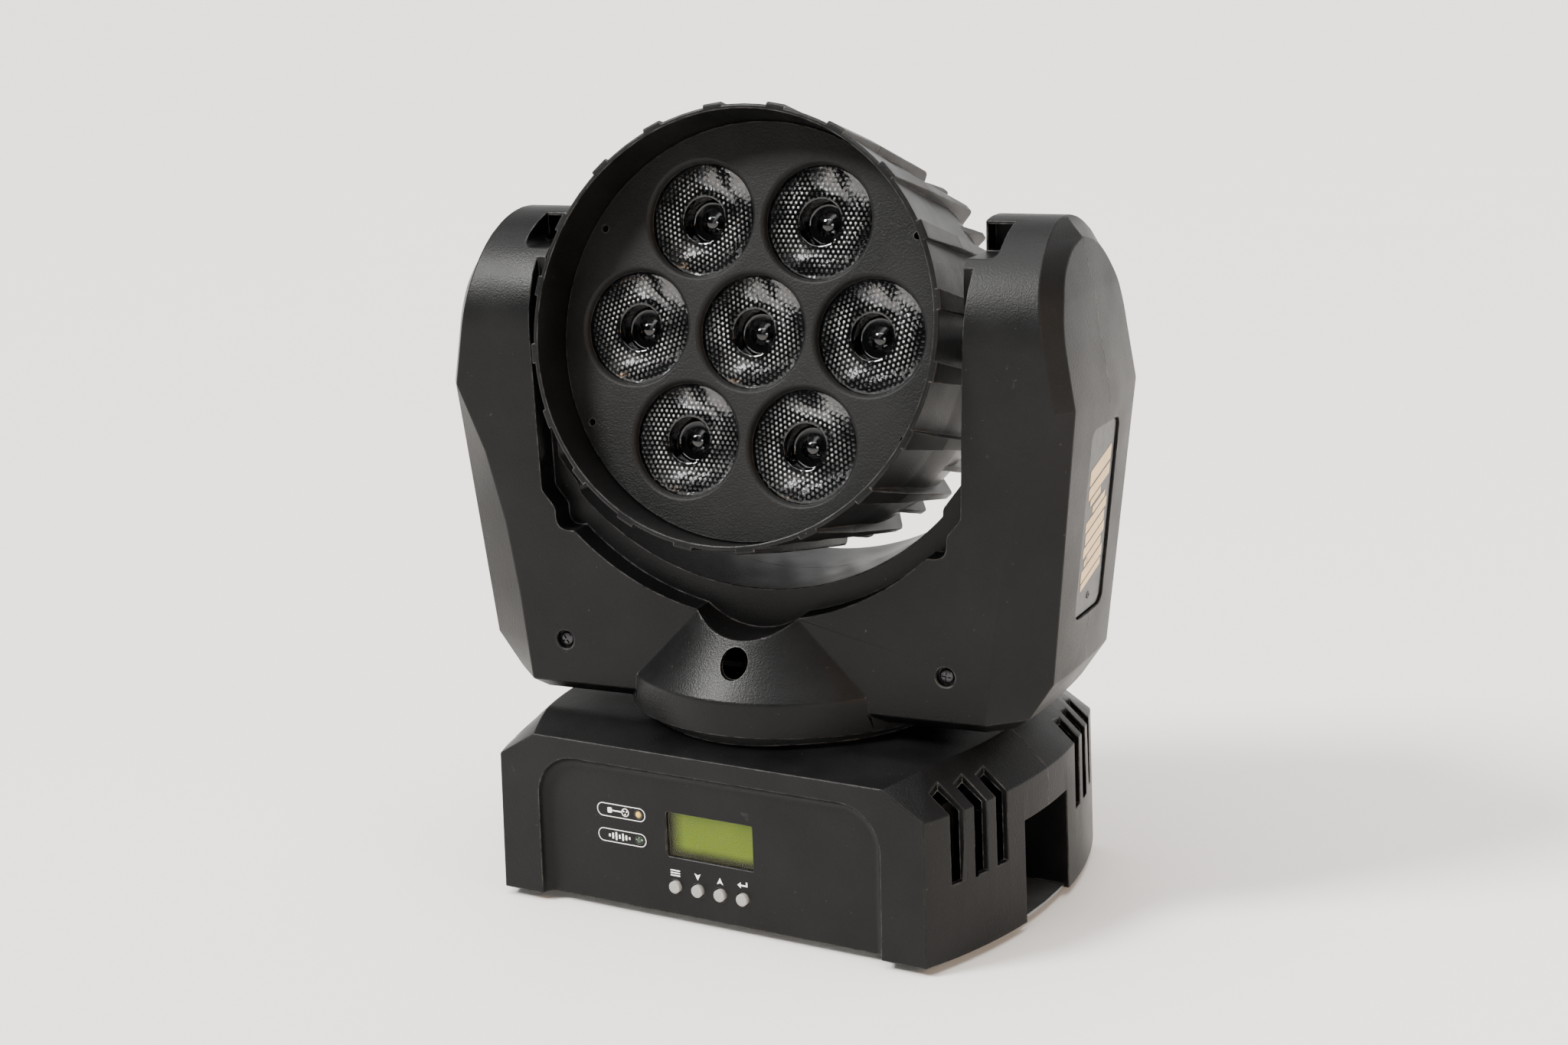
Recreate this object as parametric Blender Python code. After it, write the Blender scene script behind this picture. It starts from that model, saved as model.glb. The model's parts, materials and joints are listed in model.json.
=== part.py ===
"""A moving head light: a base with its controls, a yoke that pans on it and a head that tilts in the yoke.

Units are metres, +Z is up and -Y is the front. The origin is the centre of the base's underside.
The yoke stands turned by PAN_AT_REST and the head is raised by TILT_AT_REST, as the light was put down.
"""

import math

import bmesh
import bpy
import numpy as np

# ---------------------------------------------------------------- driving dimensions

GAP = 0.0003  # clearance between pieces that touch on the real light
WALL = 0.0026  # thickness of the moulded shells

PAN_AT_REST = math.radians(5.6)
TILT_AT_REST = math.radians(13.8)
TILT_HEIGHT = 0.2501

BASE_HALF_DEPTH = 0.0881
BASE_CORNER = 0.1100  # half width at the front and rear corners
BASE_BULGE = 0.0178  # how far the sides swell past the corners, halfway back
BASE_DRAFT = 0.0011
BASE_WALL_TOP = 0.0650
BASE_BROW = 0.0770  # top edge of the front face
BASE_BROW_HALF = 0.0897
BASE_TOP = 0.0813
BASE_TOP_BULGE = 0.0191
BASE_TOP_FLAT = 0.0620  # the top is level this far to the front and rear
PLATE_THICKNESS = 0.0015
CAVITY_HALF_DEPTH = 0.0797

PANEL_Y = -0.0826  # face of the sunk control panel
PANEL_HALF = 0.0885
PANEL_TOP = 0.0680
PANEL_CORNER = 0.0200
PANEL_COVE = 0.0052
LCD_HALF = 0.0224
LCD_LOW = 0.0272
LCD_HIGH = 0.0483
BUTTON_RADIUS = 0.00285
BUTTON_HEIGHT = 0.0135
BUTTONS = {"menu": -0.0185, "down": -0.0067, "up": 0.0050, "enter": 0.0167}
INDICATOR_X = -0.0372
INDICATORS = {"dmx": 0.0446, "sound": 0.0325}
SWITCH_Y = -0.0765  # tips of the key switches on the control board

VENT_FIRST = 0.0398
VENT_PITCH = 0.0144
VENT_WIDTH = 0.0080
VENT_FOOT = 0.0335
GRIP_HALF = 0.0223  # half width of the hand hold in each side
GRIP_TOP = 0.0473

SOCKET_PLATE_Y = 0.0810
SOCKET_PLATE_HALF = 0.0780
SOCKET_PLATE_LOW = 0.0100
SOCKET_PLATE_HIGH = 0.0620
SOCKET_HEIGHT = 0.0360

BRIDGE_TOP = 0.0525
BRIDGE_THICKNESS = 0.0025
BRIDGE_HALF = 0.0910
PAN_SPINDLE = 0.0227
PAN_PULLEY = 0.0460
PAN_BEARING = 0.0331
PAN_BELT_LOW = 0.0600
PAN_BELT_HIGH = 0.0700
PAN_MOTOR_X = -0.0600
PAN_MOTOR_Y = 0.0380
PINION = 0.0080
MOTOR_HALF = 0.0210
BELT_THICKNESS = 0.0015

HUB_FOOT = 0.0859
HUB_BAND_TOP = 0.1012
HUB_RADIUS = 0.0770
HUB_CONE_TOP = 0.1400
HUB_CONE_TOP_RADIUS = 0.0546
HUB_HOLE_HEIGHT = 0.1170
HUB_HOLE = 0.0070

YOKE_HALF_DEPTH = 0.0518
YOKE_FOOT = 0.0890
DOME_HEIGHT = 0.2564  # centre of the round tops of the arms
SIDE_DOME = 0.0422  # radius of the flat side face about the same centre
SIDE_CROWN = 0.0016
SIDE_FACE = (  # height, half width of the yoke in its middle plane
    (0.0890, 0.1205),
    (0.0945, 0.1275),
    (0.1114, 0.1390),
    (0.2320, 0.1516),
    (0.2534, 0.1480),
    (0.2763, 0.1447),
    (0.2876, 0.1420),
    (0.2986, 0.1397),
    (0.3082, 0.1323),
)
FRONT_EDGE = (  # height, half width of the front face
    (0.0890, 0.1080),
    (0.0945, 0.1117),
    (0.1357, 0.1162),
    (0.1686, 0.1216),
    (0.2011, 0.1303),
    (0.2320, 0.1438),
    (0.2564, 0.1395),
    (0.2820, 0.1353),
    (0.3082, 0.1322),
)
FRONT_DEPTH = ((0.0890, 0.0435), (0.0945, YOKE_HALF_DEPTH))
SIDE_DEPTH = ((0.0890, 0.0340), (0.0945, 0.0360), (0.1114, 0.0376), (0.2320, 0.0427), (0.2564, SIDE_DOME))
LOWER_LEVELS = (0.0890, 0.0945, 0.1114, 0.1357, 0.1686, 0.2011, 0.2320)
DOME_ANGLES = (0, 15, 30, 42, 54.4, 65, 76, 86)

WEB_HALF_DEPTH = 0.0395  # the gap for the head is tighter between these planes
WEB_ARC = (0.2649, 0.1210)  # height of the centre, radius
WEB_SIDE = ((0.1004, 0.3300), (0.0998, 0.2500), (0.0985, 0.1985), (0.0889, 0.1860))
LIP_ARC = (0.2574, 0.1245)
LIP_SIDE = (
    (0.1060, 0.3300),
    (0.1039, 0.2760),
    (0.1016, 0.1850),
    (0.0950, 0.1770),
    (0.0950, 0.1715),
    (0.0935, 0.1682),
    (0.0900, 0.1669),
)
ARC_END = {"web": 0.0889, "lip": 0.0858}

NOTCH_SIDE = 0.1137  # the pocket in the inner corner of each arm's top
NOTCH_BACK = 0.0120
NOTCH_FLOOR = 0.2936
NOTCH_CORNER = 0.0040

SCREW_X = 0.0936
SCREW_HEIGHT = 0.1148
BADGE_HEIGHT = 0.1770
BADGE_HALF_LENGTH = 0.0420
BADGE_HALF_WIDTH = 0.0187
BADGE_CORNER = 0.0050
BADGE_THICKNESS = 0.0016
BADGE_DEPTH = 0.0032  # of the recess that it lies in

FRAME_X = 0.1104
FRAME_THICKNESS = 0.0024
FRAME_FOOT = 0.1010
TILT_MOTOR_HEIGHT = 0.1410
TILT_BELT_LOW = 0.1140
TILT_BELT_HIGH = 0.1220
TILT_PULLEY = 0.0300
TILT_SHAFT = 0.0082
TILT_BEARING = 0.0140

RIM_FRONT = 0.0615  # distances ahead of the tilt axis, along the beam
FACE_FRONT = 0.0392
SEAM = 0.0172
RIM_RADIUS = 0.0960
RIM_INNER = 0.0939
LUG_RADIUS = 0.0978
FACE_RADIUS = 0.0922
FIXING_RING = 0.0870  # radius of the ring of small holes in the face
FACE_THICKNESS = 0.0035
LENS_RING = 0.0563
LENS_HOLE = 0.0250
LENS_FLANGE = 0.0263
LENS_CUP = 0.0100
LENS_FOOT = 0.0136
FIN_COUNT = 20
FIN_SEAM_RADIUS = 0.0966
FIN_TIP_RADIUS = 0.0932
FIN_TIP = -0.0460
HOUSING_BACK = -0.0640
VENT_RADIUS = 0.0450
BOARD_FRONT = 0.0121
FAN_FRONT = -0.0310
FAN_BACK = -0.0460
FAN_HALF = 0.0400
FAN_RADIUS = 0.0370

COLOURS = {  # base colour, metallic, roughness
    "black_plastic": ((0.020, 0.020, 0.021), 0.0, 0.55),
    "smooth_black": ((0.012, 0.012, 0.013), 0.0, 0.30),
    "button_grey": ((0.420, 0.415, 0.400), 0.0, 0.45),
    "window_green": ((0.230, 0.290, 0.060), 0.0, 0.15),
    "indicator_amber": ((0.750, 0.400, 0.060), 0.0, 0.25),
    "clear_plastic": ((0.780, 0.800, 0.810), 0.0, 0.05),
    "steel": ((0.450, 0.450, 0.460), 1.0, 0.35),
    "aluminium": ((0.620, 0.630, 0.640), 1.0, 0.40),
    "circuit_board": ((0.020, 0.120, 0.050), 0.0, 0.45),
    "rubber": ((0.016, 0.016, 0.016), 0.0, 0.85),
    "badge_silver": ((0.520, 0.500, 0.450), 0.6, 0.40),
}


# ---------------------------------------------------------------- shapes


def spot(axis, along, u, v):
    """A point from its place along an axis and its two coordinates across it."""
    return {"X": (along, u, v), "Y": (u, along, v), "Z": (u, v, along)}[axis]


def circle(radius, steps, centre=(0, 0), start=0.0):
    """Points round a circle."""
    angles = [start + 2 * math.pi * i / steps for i in range(steps)]
    return [(centre[0] + radius * math.cos(a), centre[1] + radius * math.sin(a)) for a in angles]


def arc(centre, radius, start, end, steps):
    """Points along an arc, both ends included, in degrees."""
    angles = np.radians(np.linspace(start, end, steps + 1))
    return [(centre[0] + radius * math.cos(a), centre[1] + radius * math.sin(a)) for a in angles]


def rounded_rectangle(half_width, half_height, corner, steps=3, centre=(0, 0)):
    """A rectangle with round corners."""
    x = half_width - corner
    z = half_height - corner
    points = []
    for (sx, sz), start in zip(((1, 1), (-1, 1), (-1, -1), (1, -1)), (0, 90, 180, 270)):
        points += arc((centre[0] + sx * x, centre[1] + sz * z), corner, start, start + 90, steps)
    return points


def loft(bm, rings):
    """Skin a stack of rings of points, with a flat face on each end."""
    loops = [[bm.verts.new(point) for point in ring] for ring in rings]
    for lower, upper in zip(loops, loops[1:]):
        for i in range(len(lower)):
            j = (i + 1) % len(lower)
            bm.faces.new((lower[i], lower[j], upper[j], upper[i]))
    bm.faces.new(loops[0])
    bm.faces.new(loops[-1])


def prism(bm, axis, outline, start, end):
    """Extrude an outline along an axis."""
    loft(bm, [[spot(axis, along, u, v) for u, v in outline] for along in (start, end)])


def box(bm, low, high):
    """A box from its lowest to its highest corner."""
    outline = [(low[0], low[1]), (high[0], low[1]), (high[0], high[1]), (low[0], high[1])]
    prism(bm, "Z", outline, low[2], high[2])


def turned(bm, axis, profile, segments, centre=(0, 0)):
    """Turn (radius, height) points about an axis. A profile that leaves the axis is closed into a ring."""
    rows = []
    for radius, height in profile:
        ring = circle(radius, segments, centre) if radius else [centre]
        rows.append([bm.verts.new(spot(axis, height, u, v)) for u, v in ring])
    pairs = list(zip(rows, rows[1:]))
    if profile[0][0]:
        pairs.append((rows[-1], rows[0]))
    for first, second in pairs:
        for i in range(segments):
            j = (i + 1) % segments
            corners = [row[k % len(row)] for row, k in ((first, i), (first, j), (second, j), (second, i))]
            bm.faces.new(list(dict.fromkeys(corners)))


def hull(bm, points):
    """The convex solid around some points."""
    verts = [bm.verts.new(point) for point in points]
    made = bmesh.ops.convex_hull(bm, input=verts)
    spare = {v for v in made["geom_interior"] + made["geom_unused"] if isinstance(v, bmesh.types.BMVert)}
    bmesh.ops.delete(bm, geom=list(spare), context="VERTS")


def belt_outline(first, second, grow):
    """The outline of a belt round two circles, each given as (centre, radius)."""
    points = []
    for (centre, radius), (other, other_radius) in ((first, second), (second, first)):
        run = math.dist(centre, other)
        away = math.atan2(centre[1] - other[1], centre[0] - other[0])
        half = math.pi / 2 + math.asin((radius - other_radius) / run)
        start = math.degrees(away - half)
        steps = 16 if radius > 2 * PINION else 6
        around = (radius + grow) / math.cos(half / steps)  # so that its flats clear the wheel
        points += arc(centre, around, start, start + math.degrees(2 * half), steps)
    return points


# ---------------------------------------------------------------- objects


def clear_scene():
    for obj in list(bpy.data.objects):
        bpy.data.objects.remove(obj, do_unlink=True)


def material(name):
    """The material of that name, made once."""
    found = bpy.data.materials.get(name)
    if found:
        return found
    colour, metallic, roughness = COLOURS[name]
    made = bpy.data.materials.new(name)
    made.use_nodes = True
    shader = made.node_tree.nodes["Principled BSDF"]
    shader.inputs["Base Color"].default_value = (*colour, 1)
    shader.inputs["Metallic"].default_value = metallic
    shader.inputs["Roughness"].default_value = roughness
    return made


def empty(name, parent=None, location=(0, 0, 0), rotation=(0, 0, 0)):
    obj = bpy.data.objects.new(name, None)
    bpy.context.collection.objects.link(obj)
    obj.parent = parent
    obj.location = location
    obj.rotation_euler = rotation
    return obj


def mesh_object(name, bm, parent):
    bmesh.ops.recalc_face_normals(bm, faces=bm.faces[:])
    mesh = bpy.data.meshes.new(name)
    bm.to_mesh(mesh)
    bm.free()
    obj = bpy.data.objects.new(name, mesh)
    bpy.context.collection.objects.link(obj)
    obj.parent = parent
    return obj


def part(name, bm, colour, parent=None, at=(0, 0, 0), turn=0.0):
    """A piece of the light, with its own material."""
    obj = mesh_object(name, bm, parent)
    obj.location = at
    obj.rotation_euler = (0, 0, turn)
    obj.data.materials.append(material(colour))
    obj.data.shade_smooth()
    obj.data.set_sharp_from_angle(angle=math.radians(35))
    return obj


def boolean(obj, bm, operation, name):
    """Cut a hidden tool from a piece, or join it on. The tool is the piece's child and shares its frame."""
    tool = mesh_object(f"{obj.name}_{name}", bm, obj)
    tool.hide_render = True
    tool.display_type = "WIRE"
    modifier = obj.modifiers.new(name, "BOOLEAN")
    modifier.operation = operation
    modifier.object = tool
    return tool


def cut(obj, bm, name):
    return boolean(obj, bm, "DIFFERENCE", name)


def join(obj, bm, name):
    return boolean(obj, bm, "UNION", name)


# ---------------------------------------------------------------- base


def side_x(y, corner, bulge, half_depth):
    """Half width at a depth, on the arc through the corners that swells by bulge."""
    radius = (half_depth**2 + bulge**2) / (2 * bulge)
    return corner + bulge - radius + math.sqrt(radius**2 - y**2)


def base_outline(inset, half_depth, steps=10):
    """The base's plan, from its front right corner round to its front left one."""
    depths = np.linspace(-half_depth, half_depth, steps + 1)
    right = [(side_x(y, BASE_CORNER - inset, BASE_BULGE, BASE_HALF_DEPTH), y) for y in depths]
    return right + [(-x, y) for x, y in reversed(right)]


def top_outline(inset, half_depth, steps=10):
    """The edge of the base's top, with the height of each point: it dips to the front and rear."""
    points = []
    for y in np.linspace(-half_depth, half_depth, steps + 1):
        x = side_x(y, BASE_BROW_HALF - inset, BASE_TOP_BULGE, BASE_HALF_DEPTH - BASE_DRAFT)
        beyond = max(0.0, abs(y) - BASE_TOP_FLAT) / (BASE_HALF_DEPTH - BASE_DRAFT - BASE_TOP_FLAT)
        points.append((x, y, BASE_TOP - inset - beyond * (BASE_TOP - BASE_BROW)))
    return points + [(-x, y, z) for x, y, z in points]


def base_solid(inset, half_depth, floor):
    """The base's outer shape, or the same shape shrunk by inset."""
    upper = half_depth if inset else half_depth - BASE_DRAFT
    bm = bmesh.new()
    points = [(x, y, floor) for x, y in base_outline(inset, half_depth)]
    points += [(x, y, BASE_WALL_TOP - inset / 3) for x, y in base_outline(inset + BASE_DRAFT, upper)]
    hull(bm, points + top_outline(inset, upper))
    return bm


def panel_arch(inset):
    """The outline of the sunk control panel, open at the bottom."""
    half = PANEL_HALF - inset
    top = PANEL_TOP - inset
    corner = PANEL_CORNER - inset
    right = arc((half - corner, top - corner), corner, 0, 90, 5)
    left = [(-x, z) for x, z in reversed(right)]
    return [(half, -0.005)] + right + left + [(-half, -0.005)]


def panel_recess():
    """The hollow in the front face, with coved walls down to the panel."""
    depth = PANEL_Y + BASE_HALF_DEPTH
    rings = [(-BASE_HALF_DEPTH - 0.003, 0.0)]
    for angle in np.radians((0, 30, 60, 90)):
        rings.append((-BASE_HALF_DEPTH + depth * math.sin(angle), PANEL_COVE * (1 - math.cos(angle))))
    bm = bmesh.new()
    loft(bm, [[(x, y, z) for x, z in panel_arch(inset)] for y, inset in rings])
    return bm


def panel_holes():
    """The window, the key holes and the indicator holes in the panel."""
    bm = bmesh.new()
    box(bm, (-LCD_HALF, -0.090, LCD_LOW), (LCD_HALF, -0.075, LCD_HIGH))
    for x in BUTTONS.values():
        prism(bm, "Y", circle(BUTTON_RADIUS + GAP, 12, (x, BUTTON_HEIGHT)), -0.090, -0.075)
    for z in INDICATORS.values():
        prism(bm, "Y", circle(0.0018, 8, (INDICATOR_X, z)), -0.090, -0.075)
    return bm


def side_openings(end):
    """The three vents on each side of one half of the base. end is -1 at the front and 1 at the rear."""
    bm = bmesh.new()
    for side in (-1, 1):
        for place in range(3):
            y = end * (VENT_FIRST + place * VENT_PITCH)
            inner = 0.0077 + side_x(y, BASE_BROW_HALF, BASE_TOP_BULGE, BASE_HALF_DEPTH - BASE_DRAFT)
            xs = sorted((side * inner, side * 0.150))
            box(bm, (xs[0], y - VENT_WIDTH / 2, VENT_FOOT), (xs[1], y + VENT_WIDTH / 2, 0.100))
    return bm


def hand_holds():
    """The hand hold in each side, which both halves share."""
    bm = bmesh.new()
    box(bm, (-0.160, -GRIP_HALF, -0.010), (-0.098, GRIP_HALF, GRIP_TOP))
    box(bm, (0.098, -GRIP_HALF, -0.010), (0.160, GRIP_HALF, GRIP_TOP))
    return bm


def hold_lining(end):
    """The moulded top and end wall of both hand holds, on one half of the base."""
    foot, top = PLATE_THICKNESS + GAP, GRIP_TOP + WALL
    near, far = end * GRIP_HALF, end * (GRIP_HALF + WALL)
    outline = [(0, top), (far, top), (far, foot), (near, foot), (near, GRIP_TOP), (0, GRIP_TOP)]
    bm = bmesh.new()
    for side in (-1, 1):
        prism(bm, "X", outline, side * (BRIDGE_HALF + 0.0005), side * 0.1245)
    return bm


def base_shell(name, end):
    """One half of the base's cover, front (end -1) or rear (end 1)."""
    shell = part(name, base_solid(0, BASE_HALF_DEPTH, 0.0), "black_plastic")
    collar = bmesh.new()
    turned(collar, "Z", [(0.066, 0.0795), (0.070, 0.0795), (0.070, 0.0846), (0.066, 0.0846)], 40)
    join(shell, collar, "collar")
    cut(shell, base_solid(WALL, CAVITY_HALF_DEPTH, -0.010), "hollow")
    spindle = bmesh.new()
    prism(spindle, "Z", circle(0.0300, 32), 0.060, 0.100)
    cut(shell, spindle, "spindle_hole")
    cut(shell, hand_holds(), "hand_holds")
    cut(shell, side_openings(end), "vents")
    join(shell, hold_lining(end), "hold_lining")
    other_half = bmesh.new()
    faces = sorted((-end * 0.150, end * GAP / 2))
    box(other_half, (-0.160, faces[0], -0.020), (0.160, faces[1], 0.120))
    cut(shell, other_half, "other_half")
    return shell


def socket_plate_outline(inset):
    """The outline of the socket plate in the rear."""
    middle = (SOCKET_PLATE_LOW + SOCKET_PLATE_HIGH) / 2
    half_height = (SOCKET_PLATE_HIGH - SOCKET_PLATE_LOW) / 2
    return rounded_rectangle(SOCKET_PLATE_HALF - inset, half_height - inset, 0.004 - inset, 2, (0, middle))


def make_base_shells():
    front = base_shell("base_front_shell", -1)
    cut(front, panel_recess(), "panel")
    cut(front, panel_holes(), "panel_holes")
    rear = base_shell("base_rear_shell", 1)
    opening = bmesh.new()
    prism(opening, "Y", socket_plate_outline(0), 0.070, 0.100)
    cut(rear, opening, "socket_opening")


def make_bottom_plate():
    bm = bmesh.new()
    prism(bm, "Z", base_outline(WALL + GAP, CAVITY_HALF_DEPTH - GAP), 0.0, PLATE_THICKNESS)
    part("base_bottom_plate", bm, "steel")
    for index, (sx, sy) in enumerate(((-1, -1), (1, -1), (1, 1), (-1, 1)), 1):
        foot = bmesh.new()
        turned(foot, "Z", [(0, -0.0040), (0.0080, -0.0040), (0.0092, -GAP), (0, -GAP)], 16)
        part(f"foot_{index}", foot, "rubber", at=(sx * 0.0930, sy * 0.0600, 0))


def make_panel_parts():
    window = bmesh.new()
    middle = (LCD_LOW + LCD_HIGH) / 2
    half_height = (LCD_HIGH - LCD_LOW) / 2
    box(window, (-LCD_HALF + GAP, -0.0818, LCD_LOW + GAP), (LCD_HALF - GAP, -0.0802, LCD_HIGH - GAP))
    part("lcd_window", window, "clear_plastic")
    module = bmesh.new()
    reach = half_height + 0.0050
    box(module, (-0.0265, -0.0794, middle - reach), (0.0265, -0.0745, middle + reach))
    part("lcd_module", module, "window_green")
    for name, z in INDICATORS.items():
        lamp = bmesh.new()
        dome = [(0, -0.0830), (0.0009, -0.0829), (0.0015, -0.0824)]
        turned(lamp, "Y", dome + [(0.0015, -0.0740), (0, -0.0740)], 10)
        part(f"{name}_indicator", lamp, "indicator_amber", at=(INDICATOR_X, 0, z))
    for name, x in BUTTONS.items():
        key = bmesh.new()
        radius = BUTTON_RADIUS
        profile = [(0, -0.0843), (radius - 0.0004, -0.0843), (radius, -0.0839), (radius, -0.0794)]
        profile += [(0.0040, -0.0794), (0.0040, -0.0784), (radius, -0.0784), (radius, -0.0774), (0, -0.0774)]
        turned(key, "Y", [(r, y - PANEL_Y) for r, y in profile], 12)
        part(f"{name}_button", key, "button_grey", at=(x, PANEL_Y, BUTTON_HEIGHT))


def make_control_board():
    bm = bmesh.new()
    box(bm, (-0.0680, -0.0730, 0.0060), (0.0340, -0.0714, 0.0600))
    board = part("control_board", bm, "circuit_board")
    switches = bmesh.new()
    for x in BUTTONS.values():
        low, high = BUTTON_HEIGHT - 0.003, BUTTON_HEIGHT + 0.003
        box(switches, (x - 0.003, SWITCH_Y, low), (x + 0.003, -0.0720, high))
    box(switches, (-0.0660, -0.0720, 0.0100), (-0.0400, -0.0640, 0.0180))
    join(board, switches, "components")


def make_power_supply():
    bm = bmesh.new()
    box(bm, (-0.0200, -0.0300, 0.0040), (0.0850, 0.0500, 0.0360))
    part("power_supply", bm, "aluminium")


def socket(name, x, flange_outline, body_outline, hollow_outline, depth):
    """A panel socket: a flange outside the socket plate, a body behind it and a hollow for the plug."""
    face = SOCKET_PLATE_Y + PLATE_THICKNESS + GAP
    at = (x, 0, SOCKET_HEIGHT)
    flange = bmesh.new()
    prism(flange, "Y", flange_outline, face, face + 0.0020)
    made = part(name, flange, "smooth_black", at=at)
    body = bmesh.new()
    prism(body, "Y", body_outline, face - depth - 0.0040, face + 0.0010)
    join(made, body, "body")
    hollow = bmesh.new()
    prism(hollow, "Y", hollow_outline, face - depth, face + 0.0100)
    cut(made, hollow, "hollow")


def make_sockets():
    round_body = circle(0.0117, 20)
    mains_body = rounded_rectangle(0.0136, 0.0099, 0.002, 1)
    places = {"power": -0.0510, "fuse": -0.0210, "dmx_in": 0.0140, "dmx_out": 0.0500}
    plate = bmesh.new()
    prism(plate, "Y", socket_plate_outline(GAP), SOCKET_PLATE_Y, SOCKET_PLATE_Y + PLATE_THICKNESS)
    panel = part("connector_plate", plate, "steel")
    holes = bmesh.new()
    for outline, x in (
        (rounded_rectangle(0.0139, 0.0102, 0.002, 1), places["power"]),
        (circle(0.0064, 16), places["fuse"]),
        (circle(0.0120, 20), places["dmx_in"]),
        (circle(0.0120, 20), places["dmx_out"]),
    ):
        prism(holes, "Y", [(x + u, SOCKET_HEIGHT + v) for u, v in outline], 0.070, 0.100)
    cut(panel, holes, "holes")
    mains_flange = rounded_rectangle(0.0160, 0.0125, 0.003, 2)
    mains_hollow = rounded_rectangle(0.0120, 0.0080, 0.0015, 1)
    socket("power_inlet", places["power"], mains_flange, mains_body, mains_hollow, 0.016)
    round_flange = rounded_rectangle(0.0130, 0.0155, 0.003, 2)
    for name in ("dmx_in", "dmx_out"):
        socket(f"{name}_socket", places[name], round_flange, round_body, circle(0.0095, 20), 0.012)
    fuse = bmesh.new()
    barrel = [(0, -0.0140), (0.0061, -0.0140), (0.0061, 0.0018)]
    cap = [(0.0080, 0.0018), (0.0078, 0.0045), (0, 0.0045)]
    turned(fuse, "Y", barrel + cap, 16)
    part("fuse_holder", fuse, "smooth_black", at=(places["fuse"], SOCKET_PLATE_Y, SOCKET_HEIGHT))


# ---------------------------------------------------------------- pan drive


def motor(name, axis, centre, body, shaft_end, parent=None):
    """A square motor with its shaft. body is (start, end) along the axis."""
    bm = bmesh.new()
    prism(bm, axis, rounded_rectangle(MOTOR_HALF, MOTOR_HALF, 0.004, 1, centre), *body)
    made = part(name, bm, "smooth_black", parent)
    shaft = bmesh.new()
    prism(shaft, axis, circle(0.0025, 10, centre), body[0] + 0.001, shaft_end)
    join(made, shaft, "shaft")


def pinion(name, axis, parent, at):
    """A motor's toothed wheel, centred on its own origin."""
    half = (PAN_BELT_HIGH - PAN_BELT_LOW) / 2 if axis == "Z" else (TILT_BELT_HIGH - TILT_BELT_LOW) / 2
    bm = bmesh.new()
    turned(bm, axis, [(0.0028, -half), (PINION, -half), (PINION, half), (0.0028, half)], 16)
    part(name, bm, "aluminium", parent, at)


def belt(name, axis, large, small, low, high, parent=None):
    """A closed toothed belt round two wheels, each given as (centre, radius)."""
    bm = bmesh.new()
    prism(bm, axis, belt_outline(large, small, GAP + BELT_THICKNESS), low, high)
    loop = part(name, bm, "rubber", parent)
    inside = bmesh.new()
    prism(inside, axis, belt_outline(large, small, GAP), low - 0.005, high + 0.005)
    cut(loop, inside, "inside")


def make_pan_drive():
    bm = bmesh.new()
    box(bm, (-BRIDGE_HALF, -0.0350, BRIDGE_TOP - BRIDGE_THICKNESS), (BRIDGE_HALF, 0.0620, BRIDGE_TOP))
    bridge = part("pan_bridge", bm, "steel")
    legs = bmesh.new()
    for side in (-1, 1):
        xs = sorted((side * BRIDGE_HALF, side * (BRIDGE_HALF - 0.002)))
        box(legs, (xs[0], -0.0280, PLATE_THICKNESS + GAP), (xs[1], 0.0280, BRIDGE_TOP - BRIDGE_THICKNESS / 2))
    join(bridge, legs, "legs")
    holes = bmesh.new()
    prism(holes, "Z", circle(PAN_BEARING + GAP, 28), 0.040, 0.060)
    prism(holes, "Z", circle(0.0040, 12, (PAN_MOTOR_X, PAN_MOTOR_Y)), 0.040, 0.060)
    cut(bridge, holes, "holes")
    ring = bmesh.new()
    inner = PAN_SPINDLE + GAP
    turned(ring, "Z", [(inner, 0.045), (PAN_BEARING, 0.045), (PAN_BEARING, 0.055), (inner, 0.055)], 28)
    part("pan_bearing", ring, "steel")
    plane = BRIDGE_TOP - BRIDGE_THICKNESS - GAP
    motor("pan_motor", "Z", (PAN_MOTOR_X, PAN_MOTOR_Y), (0.0120, plane), 0.0710)
    middle = (PAN_BELT_LOW + PAN_BELT_HIGH) / 2
    pinion("pan_pinion", "Z", None, (PAN_MOTOR_X, PAN_MOTOR_Y, middle))
    wheels = ((0, 0), PAN_PULLEY), ((PAN_MOTOR_X, PAN_MOTOR_Y), PINION)
    belt("pan_belt", "Z", *wheels, PAN_BELT_LOW + 0.001, PAN_BELT_HIGH - 0.001)


# ---------------------------------------------------------------- yoke


def yoke_ring(z, dome_radius, inset_side, inset_front):
    """One level section of the yoke's outer shape, as if its arms met: ten points."""
    half_front = np.interp(z, *zip(*FRONT_EDGE)) - inset_side / 2
    middle = np.interp(z, *zip(*SIDE_FACE)) - inset_side
    depth = np.interp(z, *zip(*FRONT_DEPTH)) - inset_front
    side_depth = np.interp(z, *zip(*SIDE_DEPTH)) - inset_front
    rise = max(0.0, z - DOME_HEIGHT)
    if rise:
        depth = math.sqrt(max(0.0, dome_radius**2 - rise**2))
        side_depth = math.sqrt(max(0.0, (SIDE_DOME - inset_front) ** 2 - rise**2))
    side_depth = max(side_depth, 0.0005)
    side = middle - SIDE_CROWN * (side_depth / SIDE_DOME) ** 2
    right = [(half_front, -depth), (side, -side_depth), (middle, 0), (side, side_depth), (half_front, depth)]
    return [(x, y, z) for x, y in right] + [(-x, y, z) for x, y in reversed(right)]


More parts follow.
